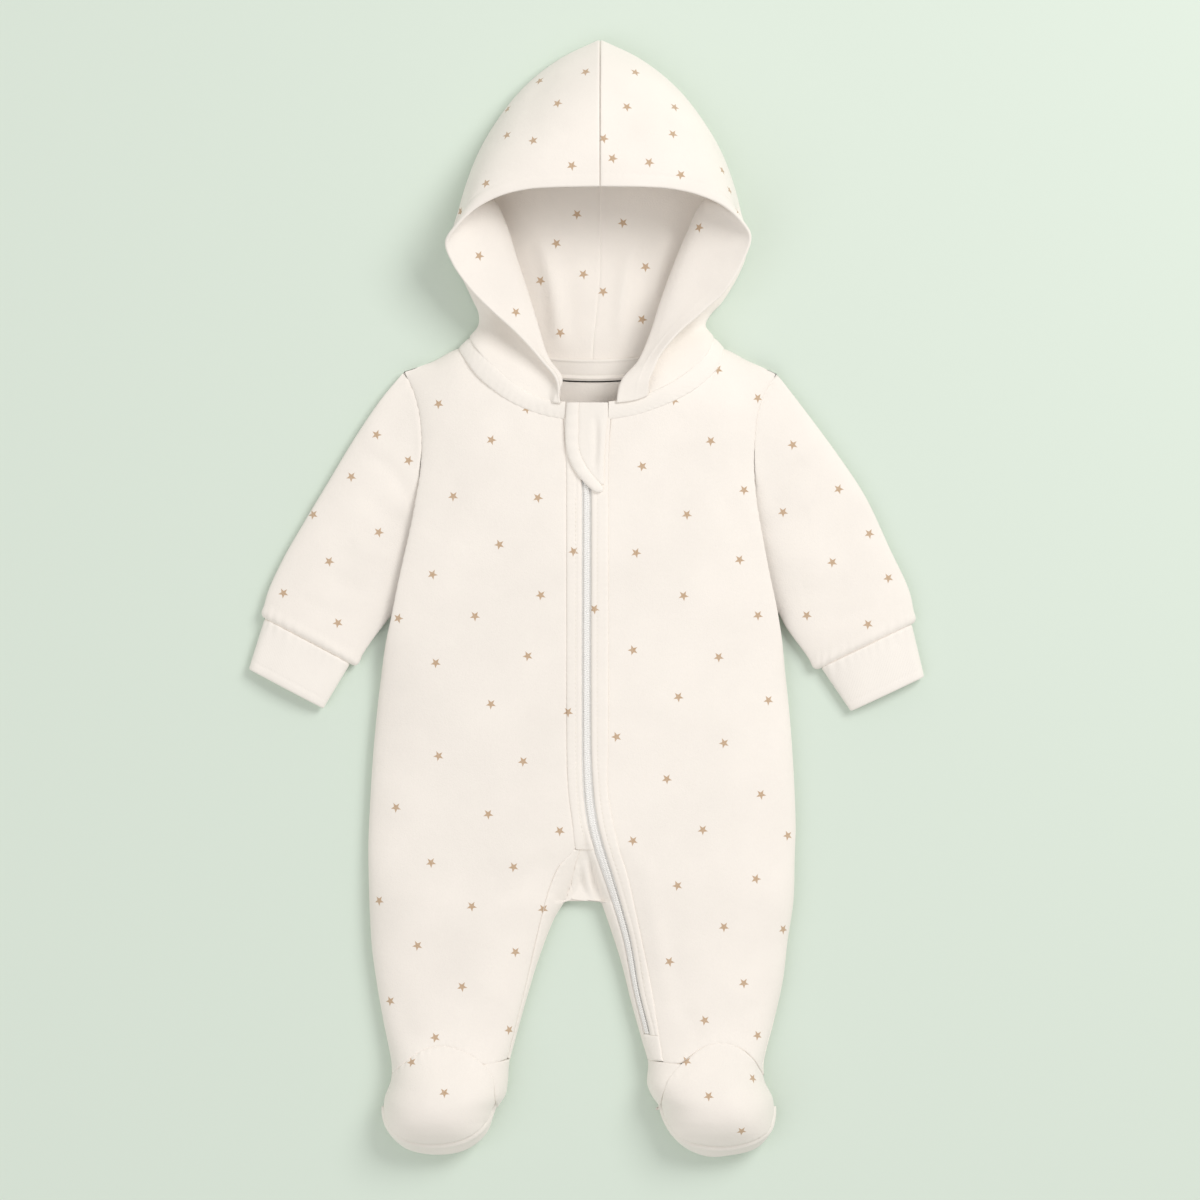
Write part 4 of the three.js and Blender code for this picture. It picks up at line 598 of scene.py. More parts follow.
# Crotch gusset, with its tail beside the zip in the left leg, and the strip along the right inseam.
GUSSET_TOP = RIGHT_PLACKET_END - SEAM_GAP - 0.4
GUSSET_TAIL = -299.6
RIGHT_FORK = through([(GUSSET_TOP, -7), (-169, -11.2), (-175.5, -17.6), (-189.2, -23.4), (-198, -26)])
STRIP_TOP = RIGHT_PLACKET_END - SEAM_GAP - 0.9
RIGHT_SEAM = through([
    (STRIP_TOP, -8.2), (-168.6, -11.6), (-175.5, -17.8), (-189.2, -23.7), (-205.4, -28.2),
    (-252.9, -39.2), (-299, -50.4)])
CROTCH_CREASES = [
    (-7, -174, -13.5, -198, 2.6, 1.6, 1.2), (-3.5, -180, -5.5, -199, 1.8, -1.2, 0.4),
    (-2, -172, 4.5, -198, 2.6, 1.5, -0.8), (2.5, -172, 7.5, -194, 1.8, -1.2, -0.6)]


def gusset_edge(y):
    """Edge between the gusset and the inseam strip."""
    return RIGHT_FORK(y) * 0.55 + 0.45 * LEFT_INSEAM(y)


def gusset_plan(u, v):
    """Plan map of the gusset: from its seam, or the left inseam below the crotch, to the zip."""
    y = lerp(GUSSET_TOP, GUSSET_TAIL, v)
    outer = lerp(gusset_edge(y), LEFT_INSEAM(y), smooth(-196.6, -198.8, y))
    level = np.zeros(u.shape + (3,))
    level[:, 0, 0] = np.where(y[:, 0] < CROTCH_Y - 6, -1, 0)
    return lerp(outer, OPEN_RIGHT(y) - SEAM_GAP, u), y, level


def strip_right_plan(u, v):
    """Plan map of the inseam strip: from the right front to the gusset, or to the right inseam."""
    y = lerp(STRIP_TOP, -299.2, v)
    outer = lerp(gusset_edge(y) - SEAM_GAP - 0.2, RIGHT_INSEAM(y), smooth(-196.6, -198.8, y))
    level = np.zeros(u.shape + (3,))
    level[:, -1, 0] = np.where(y[:, 0] < CROTCH_Y - 6, 1, 0)
    return lerp(RIGHT_SEAM(y), outer, u), y, level


def gusset_relief(x, y, top, bottom, first, last, across):
    """Relief of the gusset: its seams and the small folds at the crotch."""
    above = smooth(-200, -188, y)
    total = seam_dip(top, 0.8, 1.8) + seam_dip(first, 0.7, 1.6) * above + seam_dip(last, 0.8, 1.6)
    return total + creases(x, y, CROTCH_CREASES) + puckers(y, last, 0.12, 4.3, 3, 0.3)


def inseam_relief(x, y, top, bottom, first, last, across):
    """Relief of the inseam strip: its seam to the front and the folds at the crotch."""
    above = smooth(-200, -188, y)
    total = seam_dip(top, 0.6, 1.4) + seam_dip(first, 0.8, 1.8) + seam_dip(last, 0.7, 1.6) * above
    return total + creases(x, y, CROTCH_CREASES) + puckers(y, first, 0.14, 4.9, 3, 0.9)


front_grid("crotch_gusset", gusset_plan, stops(12, 20, (0.3, 0.7, 1.2)), stops(136, 130, (0.3, 0.7, 1.2)),
           "plain", relief=gusset_relief, meets=(0.6, 0.3, 0.8, 0.3))
front_grid("inseam_strip_right", strip_right_plan, stops(12, 20, (0.3, 0.7, 1.2)),
           stops(136, 130, (0.3, 0.7, 1.2)), "fleece", relief=inseam_relief, meets=(0.8, 0.3, 0.35, 0.9))

# Back, in one piece with both legs.
BACK_NECK = line([(-80.6, 159.6), (-62, 151), (-35, 143), (3.4, 140), (42, 143), (69, 151), (87, 159.6)])
ARMHOLES = {
    "right": through([(144.5, -117.6), (128, -108.8), (102, -106), (86, -104.5), (62, -100), (30, -88),
                      (24, -84.5), (18, -91.5), (5, -105), (-13, -123.2), (-32, -129.2)]),
    "left": through([(143.2, 121.8), (128, 112), (102, 108), (86, 106.5), (62, 101), (30, 89.5), (24, 86),
                     (18, 92.5), (3.5, 106), (-12, 119.2), (-32, 125.4)]),
}
ARMHOLE_END = -32
ROLLED = [0, 0.12, 0.35, 0.8, 1.6, 2.7, 4, 5.4, EDGE_ROLL]
BACK_EVEN = 26
CROTCH_COLUMNS = 8
SHOULDER_COLUMNS = 12
BACK_CREASES = [
    (-70, 60, -30, -20, 15, 0.7, 6), (60, 70, 20, 0, 14, 0.6, -6), (-90, -90, -50, -160, 14, 0.7, 5),
    (84, -100, 46, -170, 14, 0.7, -5), (-96, -220, -80, -280, 9, 0.6, 3), (84, -226, 76, -280, 9, 0.6, -3),
    (-20, -150, 14, -160, 10, 0.6, 2)]


def back_side(side, y):
    """x of the back's edge: the armhole, then the side seam."""
    inset = SEAM_GAP * smooth(-60, -40, y)
    seam = RIGHT_SIDE(y) + inset if side == "right" else LEFT_SIDE(y) - inset
    return np.where(y > ARMHOLE_END, ARMHOLES[side](y), seam)


def across_half(start, end):
    """Places across one half, for arrays of ends: rolled steps from each end, even steps between."""
    start, end = np.asarray(start, float)[..., None], np.asarray(end, float)[..., None]
    inward = np.sign(end - start)
    near = np.array(ROLLED)
    low, high = start + inward * EDGE_ROLL, end - inward * EDGE_ROLL
    middle = lerp(low, high, np.linspace(0, 1, BACK_EVEN + 1)[1:-1])
    return np.concatenate([start + inward * near, middle, end - inward * near[::-1]], -1)


def back_wall():
    """The back: a body grid from the neck and shoulders down to the crotch, and a grid for each leg
    that starts from the body's last row. Its lower face follows back_height."""
    v = stops(344, 130, (0.4, 1.2, 2.8, 5.5, 9))
    right_y, left_y = lerp(144.7, CROTCH_Y, v), lerp(143.4, CROTCH_Y, v)
    fork_right, fork_left = float(RIGHT_INSEAM(CROTCH_Y)), float(LEFT_INSEAM(CROTCH_Y))
    right = across_half(back_side("right", right_y), np.full_like(v, fork_right))
    left = across_half(np.full_like(v, fork_left), back_side("left", left_y))
    between = np.tile(np.linspace(fork_right, fork_left, CROTCH_COLUMNS + 1)[1:-1], (len(v), 1))
    across = np.concatenate([right, between, left], 1)
    half, width = right.shape[1], across.shape[1]
    column = np.arange(width)
    from_side = np.minimum(column, width - 1 - column)
    neck_share = (column - SHOULDER_COLUMNS) / (width - 1 - 2 * SHOULDER_COLUMNS)
    neck_x, neck_y = BACK_NECK(np.clip(neck_share, 0, 1))
    tip = np.where(column < half, -117.8, 122.0)
    neck_end = np.where(column < half, BACK_NECK(0.0)[0], BACK_NECK(1.0)[0])
    shoulder_x = lerp(tip, neck_end, np.clip(from_side / SHOULDER_COLUMNS, 0, 1))
    top_x = np.where(from_side >= SHOULDER_COLUMNS, neck_x, shoulder_x)
    top_y = np.where(from_side >= SHOULDER_COLUMNS, neck_y, SHOULDER(shoulder_x) - 0.3)
    near = (np.clip(1 - v / 0.25, 0, 1) ** 2)[:, None]
    x = across + near * (top_x - across[0])
    y = lerp(144.7, CROTCH_Y, v)[:, None] + (np.clip(1 - v / 0.36, 0, 1) ** 1.4)[:, None] * (top_y - 144.7)
    points = [np.stack([x, y], -1).reshape(-1, 2)]
    cells = [grid_cells(len(v), width)]
    last_row = (len(v) - 1) * width
    total = len(points[0])
    leg_y = np.concatenate([np.linspace(CROTCH_Y, -300.6, 48)[1:]])
    both_legs = ((0, RIGHT_SIDE, RIGHT_INSEAM), (half + CROTCH_COLUMNS - 1, LEFT_INSEAM, LEFT_SIDE))
    for first_column, low, high in both_legs:
        leg_x = across_half(low(leg_y), high(leg_y))
        points.append(np.stack([leg_x, np.broadcast_to(leg_y[:, None], leg_x.shape)], -1).reshape(-1, 2))
        numbers = np.concatenate([last_row + first_column + np.arange(half),
                                  total + np.arange(half * len(leg_y))])
        cells.append(numbers[grid_cells(len(leg_y) + 1, half)])
        total += half * len(leg_y)
    plan, cells = np.concatenate(points), np.concatenate(cells)
    x, y = plan[:, 0], plan[:, 1]
    lower = np.stack([x, y, back_height(x, y)], -1)
    normals = sheet_normals(lower, cells)
    if normals[:, 2].mean() > 0:
        normals = -normals
    at_seam = lower[:, 2] > SEAM_Z - SEAM_GAP - 0.05
    facing = np.where(at_seam[:, None], unit(normals * (1, 1, 0)), normals)
    upper = lower - facing * CLOTH
    flat = smooth(6, 24, np.minimum(x - RIGHT_SIDE(y), LEFT_SIDE(y) - x))
    upper[:, 2] += (creases(x, y, BACK_CREASES) * 0.6 + np.abs(drift(x, y, 0.5, 2.0))) * flat * (y < 120)
    wall("back", lower, upper, cells, "fleece", y, x)


back_wall()

# Sleeves: tubes between an outer and an inner edge, flat underneath and domed above.
SLEEVE_MID = 6.0
SLEEVE_LOFT = 13.2
AROUND = 112
ARMS = {
    "right": {
        "sign": -1,
        "outer": line([(-119.2, 145), (-133.9, 127.4), (-151.5, 101.4), (-167.1, 75.4), (-182.7, 49.4),
                       (-197.6, 23.4), (-207.5, 1.5), (-210.9, -13.6)]),
        "inner": line([(-90.5, 25.5), (-108.5, 7), (-126.8, -12.6), (-139.8, -29.2), (-150.4, -45.6)]),
        "top": line([(-119.2, 145), (-113.2, 132), (-109.2, 115.7), (-107.9, 97), (-109, 80), (-108, 62),
                     (-101, 42), (-90.5, 25.5)]),
        "under": line([(-119.2, 144.8), (-111, 128), (-107.6, 102), (-106.2, 86), (-102.5, 62), (-97, 42),
                       (-90.5, 25.5)]),
        "cuff": ((-209.3, -14.9), (-153.9, -44.2), (-219.6, -47.6), (-171.2, -73.2)),
        "creases": [
            (-116, 62, -142, 92, 6, -1.0, -4), (-112, 44, -140, 62, 7, -0.9, 3),
            (-122, 26, -152, 36, 8, 0.8, 3),
            (-138, 4, -166, 12, 7, -0.7, 2), (-150, 112, -134, 92, 9, 0.6, 2),
            (-160, -14, -186, 0, 6, -0.5, 2),
            (-176, 62, -158, 30, 9, -0.5, 3)],
    },
    "left": {
        "sign": 1,
        "outer": line([(123.5, 143.7), (141.1, 120.9), (163.2, 91), (180.7, 64.4), (196.3, 31.2), (209.6, 2),
                       (213, -17.2)]),
        "inner": line([(92, 25.5), (109.2, 5.5), (124, -10.8), (128.7, -19.5), (141.1, -36.6), (149, -48)]),
        "top": line([(123.5, 143.7), (115.1, 128.7), (111.2, 115.7), (109.6, 100.1), (109.2, 82),
                     (108.5, 62), (102, 42), (92, 25.5)]),
        "under": line([(123.5, 143.5), (113.8, 128), (109.8, 102), (108.2, 86), (104, 62), (98, 42),
                       (92, 25.5)]),
        "cuff": ((210.9, -18.6), (152.2, -46.9), (219, -52.6), (171.4, -75)),
        "creases": [
            (118, 60, 142, 88, 6, -0.9, 4), (114, 42, 142, 58, 7, -0.9, -3), (124, 24, 154, 32, 8, 0.8, -3),
            (138, 2, 168, 10, 7, -0.6, -2), (156, 104, 138, 88, 9, 0.5, -2), (158, -16, 186, -4, 6, -0.5, -2),
            (180, 56, 160, 28, 9, -0.5, -3)],
    },
}


def tube_shares(count):
    """Places round a flat tube from its outer edge over the top and back underneath: half of 1 - cos."""
    k = np.arange(count)
    return (1 - np.cos(2 * math.pi * k / count)) / 2, k <= count / 2, k


def sleeve_wall(side):
    """A sleeve: stations from the armhole to the wrist, its first eased onto the armhole seam, which lies
    under the front's edge above and at the surface below."""
    arm = ARMS[side]
    s = stops(190, 120, (0.3, 0.8, 1.5, 2.4, 3.4, 4.8))[:, None]
    w, above, k = (part[None, :] for part in tube_shares(AROUND))
    outer_x, outer_y = arm["outer"](s)
    inner_x, inner_y = arm["inner"](s)
    start_x, start_y = arm["outer"](0.0)
    root_x, root_y = arm["inner"](0.0)
    fade = np.clip(1 - s / 0.4, 0, 1) ** 2
    loft = lerp(SLEEVE_LOFT, SLEEVE_LOFT - 0.8, s) * (1 - 0.1 * smooth(0.96, 1, s))
    top_x, top_y = arm["top"](w)
    under_x, under_y = arm["under"](w)
    cap_x, cap_y = np.where(above, top_x, under_x), np.where(above, top_y, under_y)
    x = lerp(outer_x, inner_x, w) + fade * (cap_x - lerp(start_x, root_x, w))
    y = lerp(outer_y, inner_y, w) + fade * (cap_y - lerp(start_y, root_y, w))
    bulge = np.where(w < 0.5, rounded(w, 2.4, 0.5), rounded(w, 1.9, 0.62))
    z = np.where(above, SLEEVE_MID + (loft - SLEEVE_MID) * bulge, SLEEVE_MID * (1 - rounded(w, 9, 0.5)))
    edge = arm["sign"] * (np.abs(cap_x) - 1.2)
    seam = np.where(w < 0.62, front_height(edge, cap_y) - 0.3, z)
    seam_z = lerp(z, lerp(seam, z, smooth(0.45, 0.62, w)), np.clip(1 - s / 0.22, 0, 1) ** 2)
    z = np.where(above & (k > 0) & (k < AROUND / 2), seam_z, z)
    grid = np.stack([x, y, z], -1)
    down, up, _, _, around = edge_distances(grid, True)
    gathers = 0.34 * np.sin(around / 0.95 + 1.6 * np.sin(around / 6.1))
    gathers = gathers * np.exp(-((up / 7) ** 2)) * smooth(0, 1.5, up)
    hem = 0.9 * np.exp(-(((up - 3.4) / 3.2) ** 2))
    upper = np.where(above, 1, 0) * smooth(0, 0.08, w) * smooth(1, 0.92, w)
    relief = seam_dip(down, 0.9, 2.4) + seam_dip(up, 2.0, 2.6) + hem + gathers * upper
    relief = relief + puckers(cap_y, down, 0.2, 6.3, 5, 1.2)
    relief = relief + (creases(x, y, arm["creases"]) + drift(x, y, 0.3, 3.1)) * upper * smooth(0, 8, down)
    thickened("sleeve_" + side, grid, CLOTH, "fleece", arm["sign"], relief, True, (), (1.3, 0.2, 0, 0))


def cuff_wall(side):
    """A cuff: a doubled band between two straight edges, with a rounded open end."""
    arm = ARMS[side]
    s = stops(34, 44, (0.15, 0.4, 0.75, 1.2, 1.8))[:, None]
    w, above, k = (part[None, :] for part in tube_shares(AROUND))
    (ax, ay), (bx, by), (cx, cy), (dx, dy) = arm["cuff"]
    loft = lerp(11.6, 10.4, s) - 0.5 * smooth(0.9, 1, s)
    middle = 5.0
    x = lerp(lerp(ax, cx, s), lerp(bx, dx, s), w)
    y = lerp(lerp(ay, cy, s), lerp(by, dy, s), w)
    z = np.where(above, middle + (loft - middle) * rounded(w, 3, 0.5), middle * (1 - rounded(w, 9, 0.5)))
    grid = np.stack([x, y, z + 0 * x], -1)
    down, up, _, _, around = edge_distances(grid, True)
    upper = np.where(above, 1, 0) * smooth(0, 0.06, w) * smooth(1, 0.94, w)
    pleats = 0.3 * np.sin(around / 0.95 + 1.6 * np.sin(around / 6.1)) * np.exp(-((down / 6) ** 2))
    ease = 0.22 * np.sin(around / 4.3 + 2.1 * np.sin(around / 13)) * smooth(0, 8, down)
    stitch_groove = 0.16 * np.exp(-(((up - 6) / 0.8) ** 2))
    relief = seam_dip(down, 1.0, 1.8) + (pleats + ease - stitch_groove) * upper
    thickened("cuff_" + side, grid, RIB_CLOTH, "rib", arm["sign"], relief, True, ("bottom",), (0.4, 0, 0, 0))


for side in ("right", "left"):
    sleeve_wall(side)
    cuff_wall(side)

# Feet: the toe cap over the toes, the sole round their end, and the heel under the ankle.
SOLE_BACK = -331.6
SOLE_INSET = 10.0
FEET = {
    "right": {
        "sign": -1, "outer_side": RIGHT_SIDE, "inner_side": RIGHT_INSEAM,
        "cap_top": line([(-126.4, -311), (-119, -303.2), (-105, -294.2), (-90.6, -292), (-76, -297),
                         (-66.6, -303.6), (-60.4, -312.7)]),
        "cap_bottom": line([(-131.9, -331.9), (-130.8, -337.5), (-127, -345.2), (-117, -351.6),
                            (-98.8, -354.2), (-79, -350.6), (-66, -341.4), (-59.6, -329)]),
        "reach": line([(-132.4, -331.9), (-132, -338), (-129.6, -346), (-118, -357.6), (-98.8, -362),
                       (-78.6, -358.8), (-65.2, -348.2), (-59.2, -331.6)]),
        "cap_inner": through([(-302, -65.9), (-306, -63.6), (-312.7, -59), (-330.6, -57.8)]),
    },
    "left": {
        "sign": 1, "outer_side": LEFT_SIDE, "inner_side": LEFT_INSEAM,
        "cap_top": line([(114.4, -311.6), (108.7, -301.6), (98.4, -293.2), (87, -290), (76, -292.4),
            (65, -299.6),
                         (56.4, -307), (51.8, -313.6)]),
        "cap_bottom": line([(121.3, -331.9), (120.4, -338.5), (117.4, -346), (107, -352.2), (90, -355.8),
                            (72, -354.2), (58.4, -349.6), (50, -337), (48, -329)]),
        "reach": line([(121.8, -331.9), (121.6, -338.5), (120, -346), (110, -357.6), (92, -362.6),
                       (78, -363.2), (63, -357), (52.8, -346), (47.2, -331.4)]),
        "cap_inner": through([(-302, 60.8), (-307, 55.2), (-313.6, 50.6), (-322, 47.3), (-330.6, 46.8)]),
    },
}
FOOT_CREASES = [
    (-124, -306, -108, -300, 4, -0.5, 1), (-64, -308, -74, -302, 4, -0.5, 1),
    (108, -306, 96, -300, 4, -0.5, 1),
    (58, -309, 70, -302, 4, -0.6, 1)]


def cap_wall(side):
    """A toe cap: from its seam over the instep down to the sole's seam, on the foot's dome."""
    foot = FEET[side]

    def plan(u, v):
        top_x, top_y = foot["cap_top"](u)
        end_x, end_y = foot["cap_bottom"](u)
        level = np.zeros(u.shape + (3,))
        level[:, 0, 0] = foot["sign"]
        x, y = lerp(top_x, end_x, v), lerp(top_y, end_y, v)
        return x + (foot["outer_side"](y[:, :1]) - x[:, :1]) * (1 - u) ** 6, y, level

    def relief(x, y, top, bottom, first, last, across):
        total = seam_dip(top, 1.0, 2.4) + seam_dip(bottom, 1.6, 1.3) + seam_dip(last, 0.7, 1.6)
        total += puckers(x, top, 0.3, 5.1, 4.5, 0.6) + puckers(x, bottom, 0.18, 4.7, 4, 1.6)
        return total + creases(x, y, FOOT_CREASES) + drift(x, y, 0.25, 1.0) * smooth(0, 8, first)

    front_grid("toe_cap_" + side, plan,
               stops(85, 90, (0.3, 0.8, 1.5, 2.4)), stops(60, 70, (0.3, 0.8, 1.5, 2.4)),
               "fleece", relief=relief, meets=(1.7, 0.7, 0.3, 1.3))


def sole_wall(side):
    """A sole: curves from the toe-cap seam out to the end of the foot, down and back under it."""
    foot = FEET[side]
    u = stops(95, 90, (0.4, 1, 2))
    seam_x, seam_y = foot["cap_bottom"](u)
    drop = 1.6 + 2.6 * smooth(0.75, 1, u)
    seam_z = np.maximum(front_height(seam_x, seam_y) - drop, SEAM_Z - SEAM_GAP)
    end = np.stack(foot["reach"](u), -1)
    ends = np.stack(foot["reach"](np.array([0.0, 1.0])), -1)
    middle = np.array([ends[:, 0].mean(), SOLE_BACK])
    out = unit(end - middle)
    corners = (ends[0, 0] - foot["sign"] * SOLE_INSET, ends[1, 0] + foot["sign"] * SOLE_INSET)
    back = np.stack([lerp(corners[0], corners[1], u), np.full_like(u, SOLE_BACK)], -1)
    start = np.stack([seam_x, seam_y], -1) + out * SEAM_GAP

    def raised(flat, z):
        return np.concatenate([flat, np.broadcast_to(np.asarray(z, float), flat.shape[:1])[:, None]], 1)

    controls = np.stack([
        raised(start, seam_z), raised(end, seam_z * 0.52), raised(end - out * 5, 0.3),
        raised(lerp(end - out * 9, back, 0.3), 0.0), raised(back, 0.0)], 1)
    down_stops = np.concatenate([[0, 0.03, 0.08, 0.16], np.linspace(0.25, 4, 46)])
    grid = np.swapaxes(spline(controls, down_stops), 0, 1)
    grid[..., 2] = np.maximum(grid[..., 2], 0)
    down, _, _, _, around = edge_distances(grid)
    relief = seam_dip(down, 1.6, 1.3) + 0.9 * np.exp(-(((down - 3) / 1.7) ** 2))
    relief = relief + puckers(around, down, 0.18, 4.7, 4, 1.6)
    thickened("sole_" + side, grid, CLOTH, "plain", foot["sign"], relief, meets=(0.5, 0, 0.8, 2.2))


def heel_wall(side):
    """A heel: across from the outer side seam down, under the ankle and up the inner side to the cap."""
    foot = FEET[side]
    v = stops(30, 30, (0.3, 0.8, 1.6))
    y = lerp(-301.1, SOLE_BACK + SEAM_GAP, v)
    low, high = foot["outer_side"](y), foot["inner_side"](y)
    flat_x = across_half(low, high)[:, :-1]
    flat_y = np.broadcast_to(y[:, None], flat_x.shape)
    t = np.array([0, 0.04, 0.1, 0.2, 0.35, 0.5, 0.7, 0.85, 1])[None, :]
    up_x = lerp(high[:, None], foot["cap_inner"](y)[:, None], t)
    up_y = y[:, None] - 1.4 * t * (1 - v[:, None])
    up_z = np.where(t == 0, SEAM_Z, front_height(up_x, np.broadcast_to(y[:, None], up_x.shape)))
    lower = np.stack([flat_x, flat_y, back_height(flat_x, flat_y)], -1)
    grid = np.concatenate([lower, np.stack([up_x, up_y, up_z], -1)], 1)
    down, up, _, last, _ = edge_distances(grid)
    relief = seam_dip(last, 0.7, 1.6) + seam_dip(down, 0.5, 1.6)
    thickened("heel_" + side, grid, CLOTH, "fleece", -foot["sign"], relief, meets=(0.5, 0.8, 0, 1.4))


for side in ("right", "left"):
    cap_wall(side)
    sole_wall(side)
    heel_wall(side)

# Neckband: its seam to the body and its seam to the hood, x, y, z, from the right front end round.
NECKBAND_ROWS = [
    (-15, 116.2, 25.4, -14.6, 124.6, 26.2), (-28.4, 119, 25.2, -28.2, 126.6, 26),
    (-46, 126, 24.6, -40.3, 131.7, 25.4), (-56.6, 132.8, 23.8, -50.3, 138.7, 24.6),
    (-68.5, 142.7, 21.4, -60.8, 148.2, 22.6), (-76.6, 153.5, 17, -69.6, 158.2, 18.4),
    (-81.4, 162.2, 7.4, -75.2, 167.4, 8.4), (-75.5, 160.2, 1, -70.5, 166.4, 1.2),
    (-60, 151.3, 0, -57, 159.4, 0), (-34, 143.9, 0, -32.4, 152, 0), (3.4, 140.9, 0, 3.4, 149.2, 0),
    (41, 143.9, 0, 39.4, 152, 0), (67, 151.3, 0, 64, 159.4, 0), (82.4, 160.2, 1, 77.5, 166.4, 1.2),
    (87.2, 162.3, 7.8, 81.6, 167.4, 8.8), (82.8, 148.6, 17, 76.8, 156.4, 18.4),
    (71, 136.8, 21.8, 66.6, 145.4, 22.8), (57.3, 128.8, 24.2, 54.4, 137, 24.9),
    (43.4, 122.9, 24.9, 41.6, 131, 25.6), (31.6, 119, 25.3, 31, 127, 26),
    (15.3, 116.2, 25.5, 15.6, 124.8, 26.3)]
NECK_TAPE = {"from": -46.0, "to": 53.0, "low": 139.6, "high": 153.6, "z": 2.4, "thickness": 1.0}


def neckband_wall():
    """The neckband: straight across between its two seam curves, plump between them."""
    rows = np.array(NECKBAND_ROWS, float)
    at = np.linspace(0, len(rows) - 1, 400)
    body, hood = spline(rows[:, :3], at), spline(rows[:, 3:], at)
    w = stops(8.5, 16, (0.2, 0.5, 0.9, 1.5))[None, :, None]
    grid = lerp(body[:, None], hood[:, None], w)
    grid[..., 2] = np.maximum(grid[..., 2], 0)
    down, _, first, last, _ = edge_distances(grid)
    relief = seam_dip(first, 1.2, 3.2) + seam_dip(last, 1.2, 3.2) + 0.7
    relief = relief + puckers(down, first, 0.13, 5.1, 3, 0.2) + puckers(down, last, 0.13, 4.7, 3, 2.2)
    raised = smooth(0.5, 4, grid[..., 2])
    thickened("neckband", grid, CLOTH, "plain", 1, relief * raised, meets=(0.6, 1.5, 2.2, 0.9))


def neck_tape_wall():
    """The neck tape: a curved strip over the seam inside the back of the neck, corded at its edges."""
    t = stops(99, 110, (0.3, 0.7))[:, None]
    w = stops(14, 40, (0.2, 0.5, 0.9))[None, :]
    x = lerp(NECK_TAPE["from"], NECK_TAPE["to"], t) + 0 * w
    y = lerp(NECK_TAPE["low"], NECK_TAPE["high"], w) + 4.5 * (2 * t - 1) ** 2
    grid = np.stack([x, y, np.full_like(x, NECK_TAPE["z"] + NECK_TAPE["thickness"])], -1)
    down, _, first, last, _ = edge_distances(grid)
    cord = 0.9 * np.exp(-(((first - 1.5) / 1.0) ** 2)) + 0.5 * np.exp(-(((last - 1.2) / 0.8) ** 2))
    fold = 0.25 * np.sin(down / 6.3) * smooth(2, 5, first)
    relief = cord + fold - 0.35 * np.exp(-(((first - 3.6) / 0.6) ** 2))
    thickened("neck_tape", grid, NECK_TAPE["thickness"], "plain", -1, relief)


neckband_wall()
neck_tape_wall()

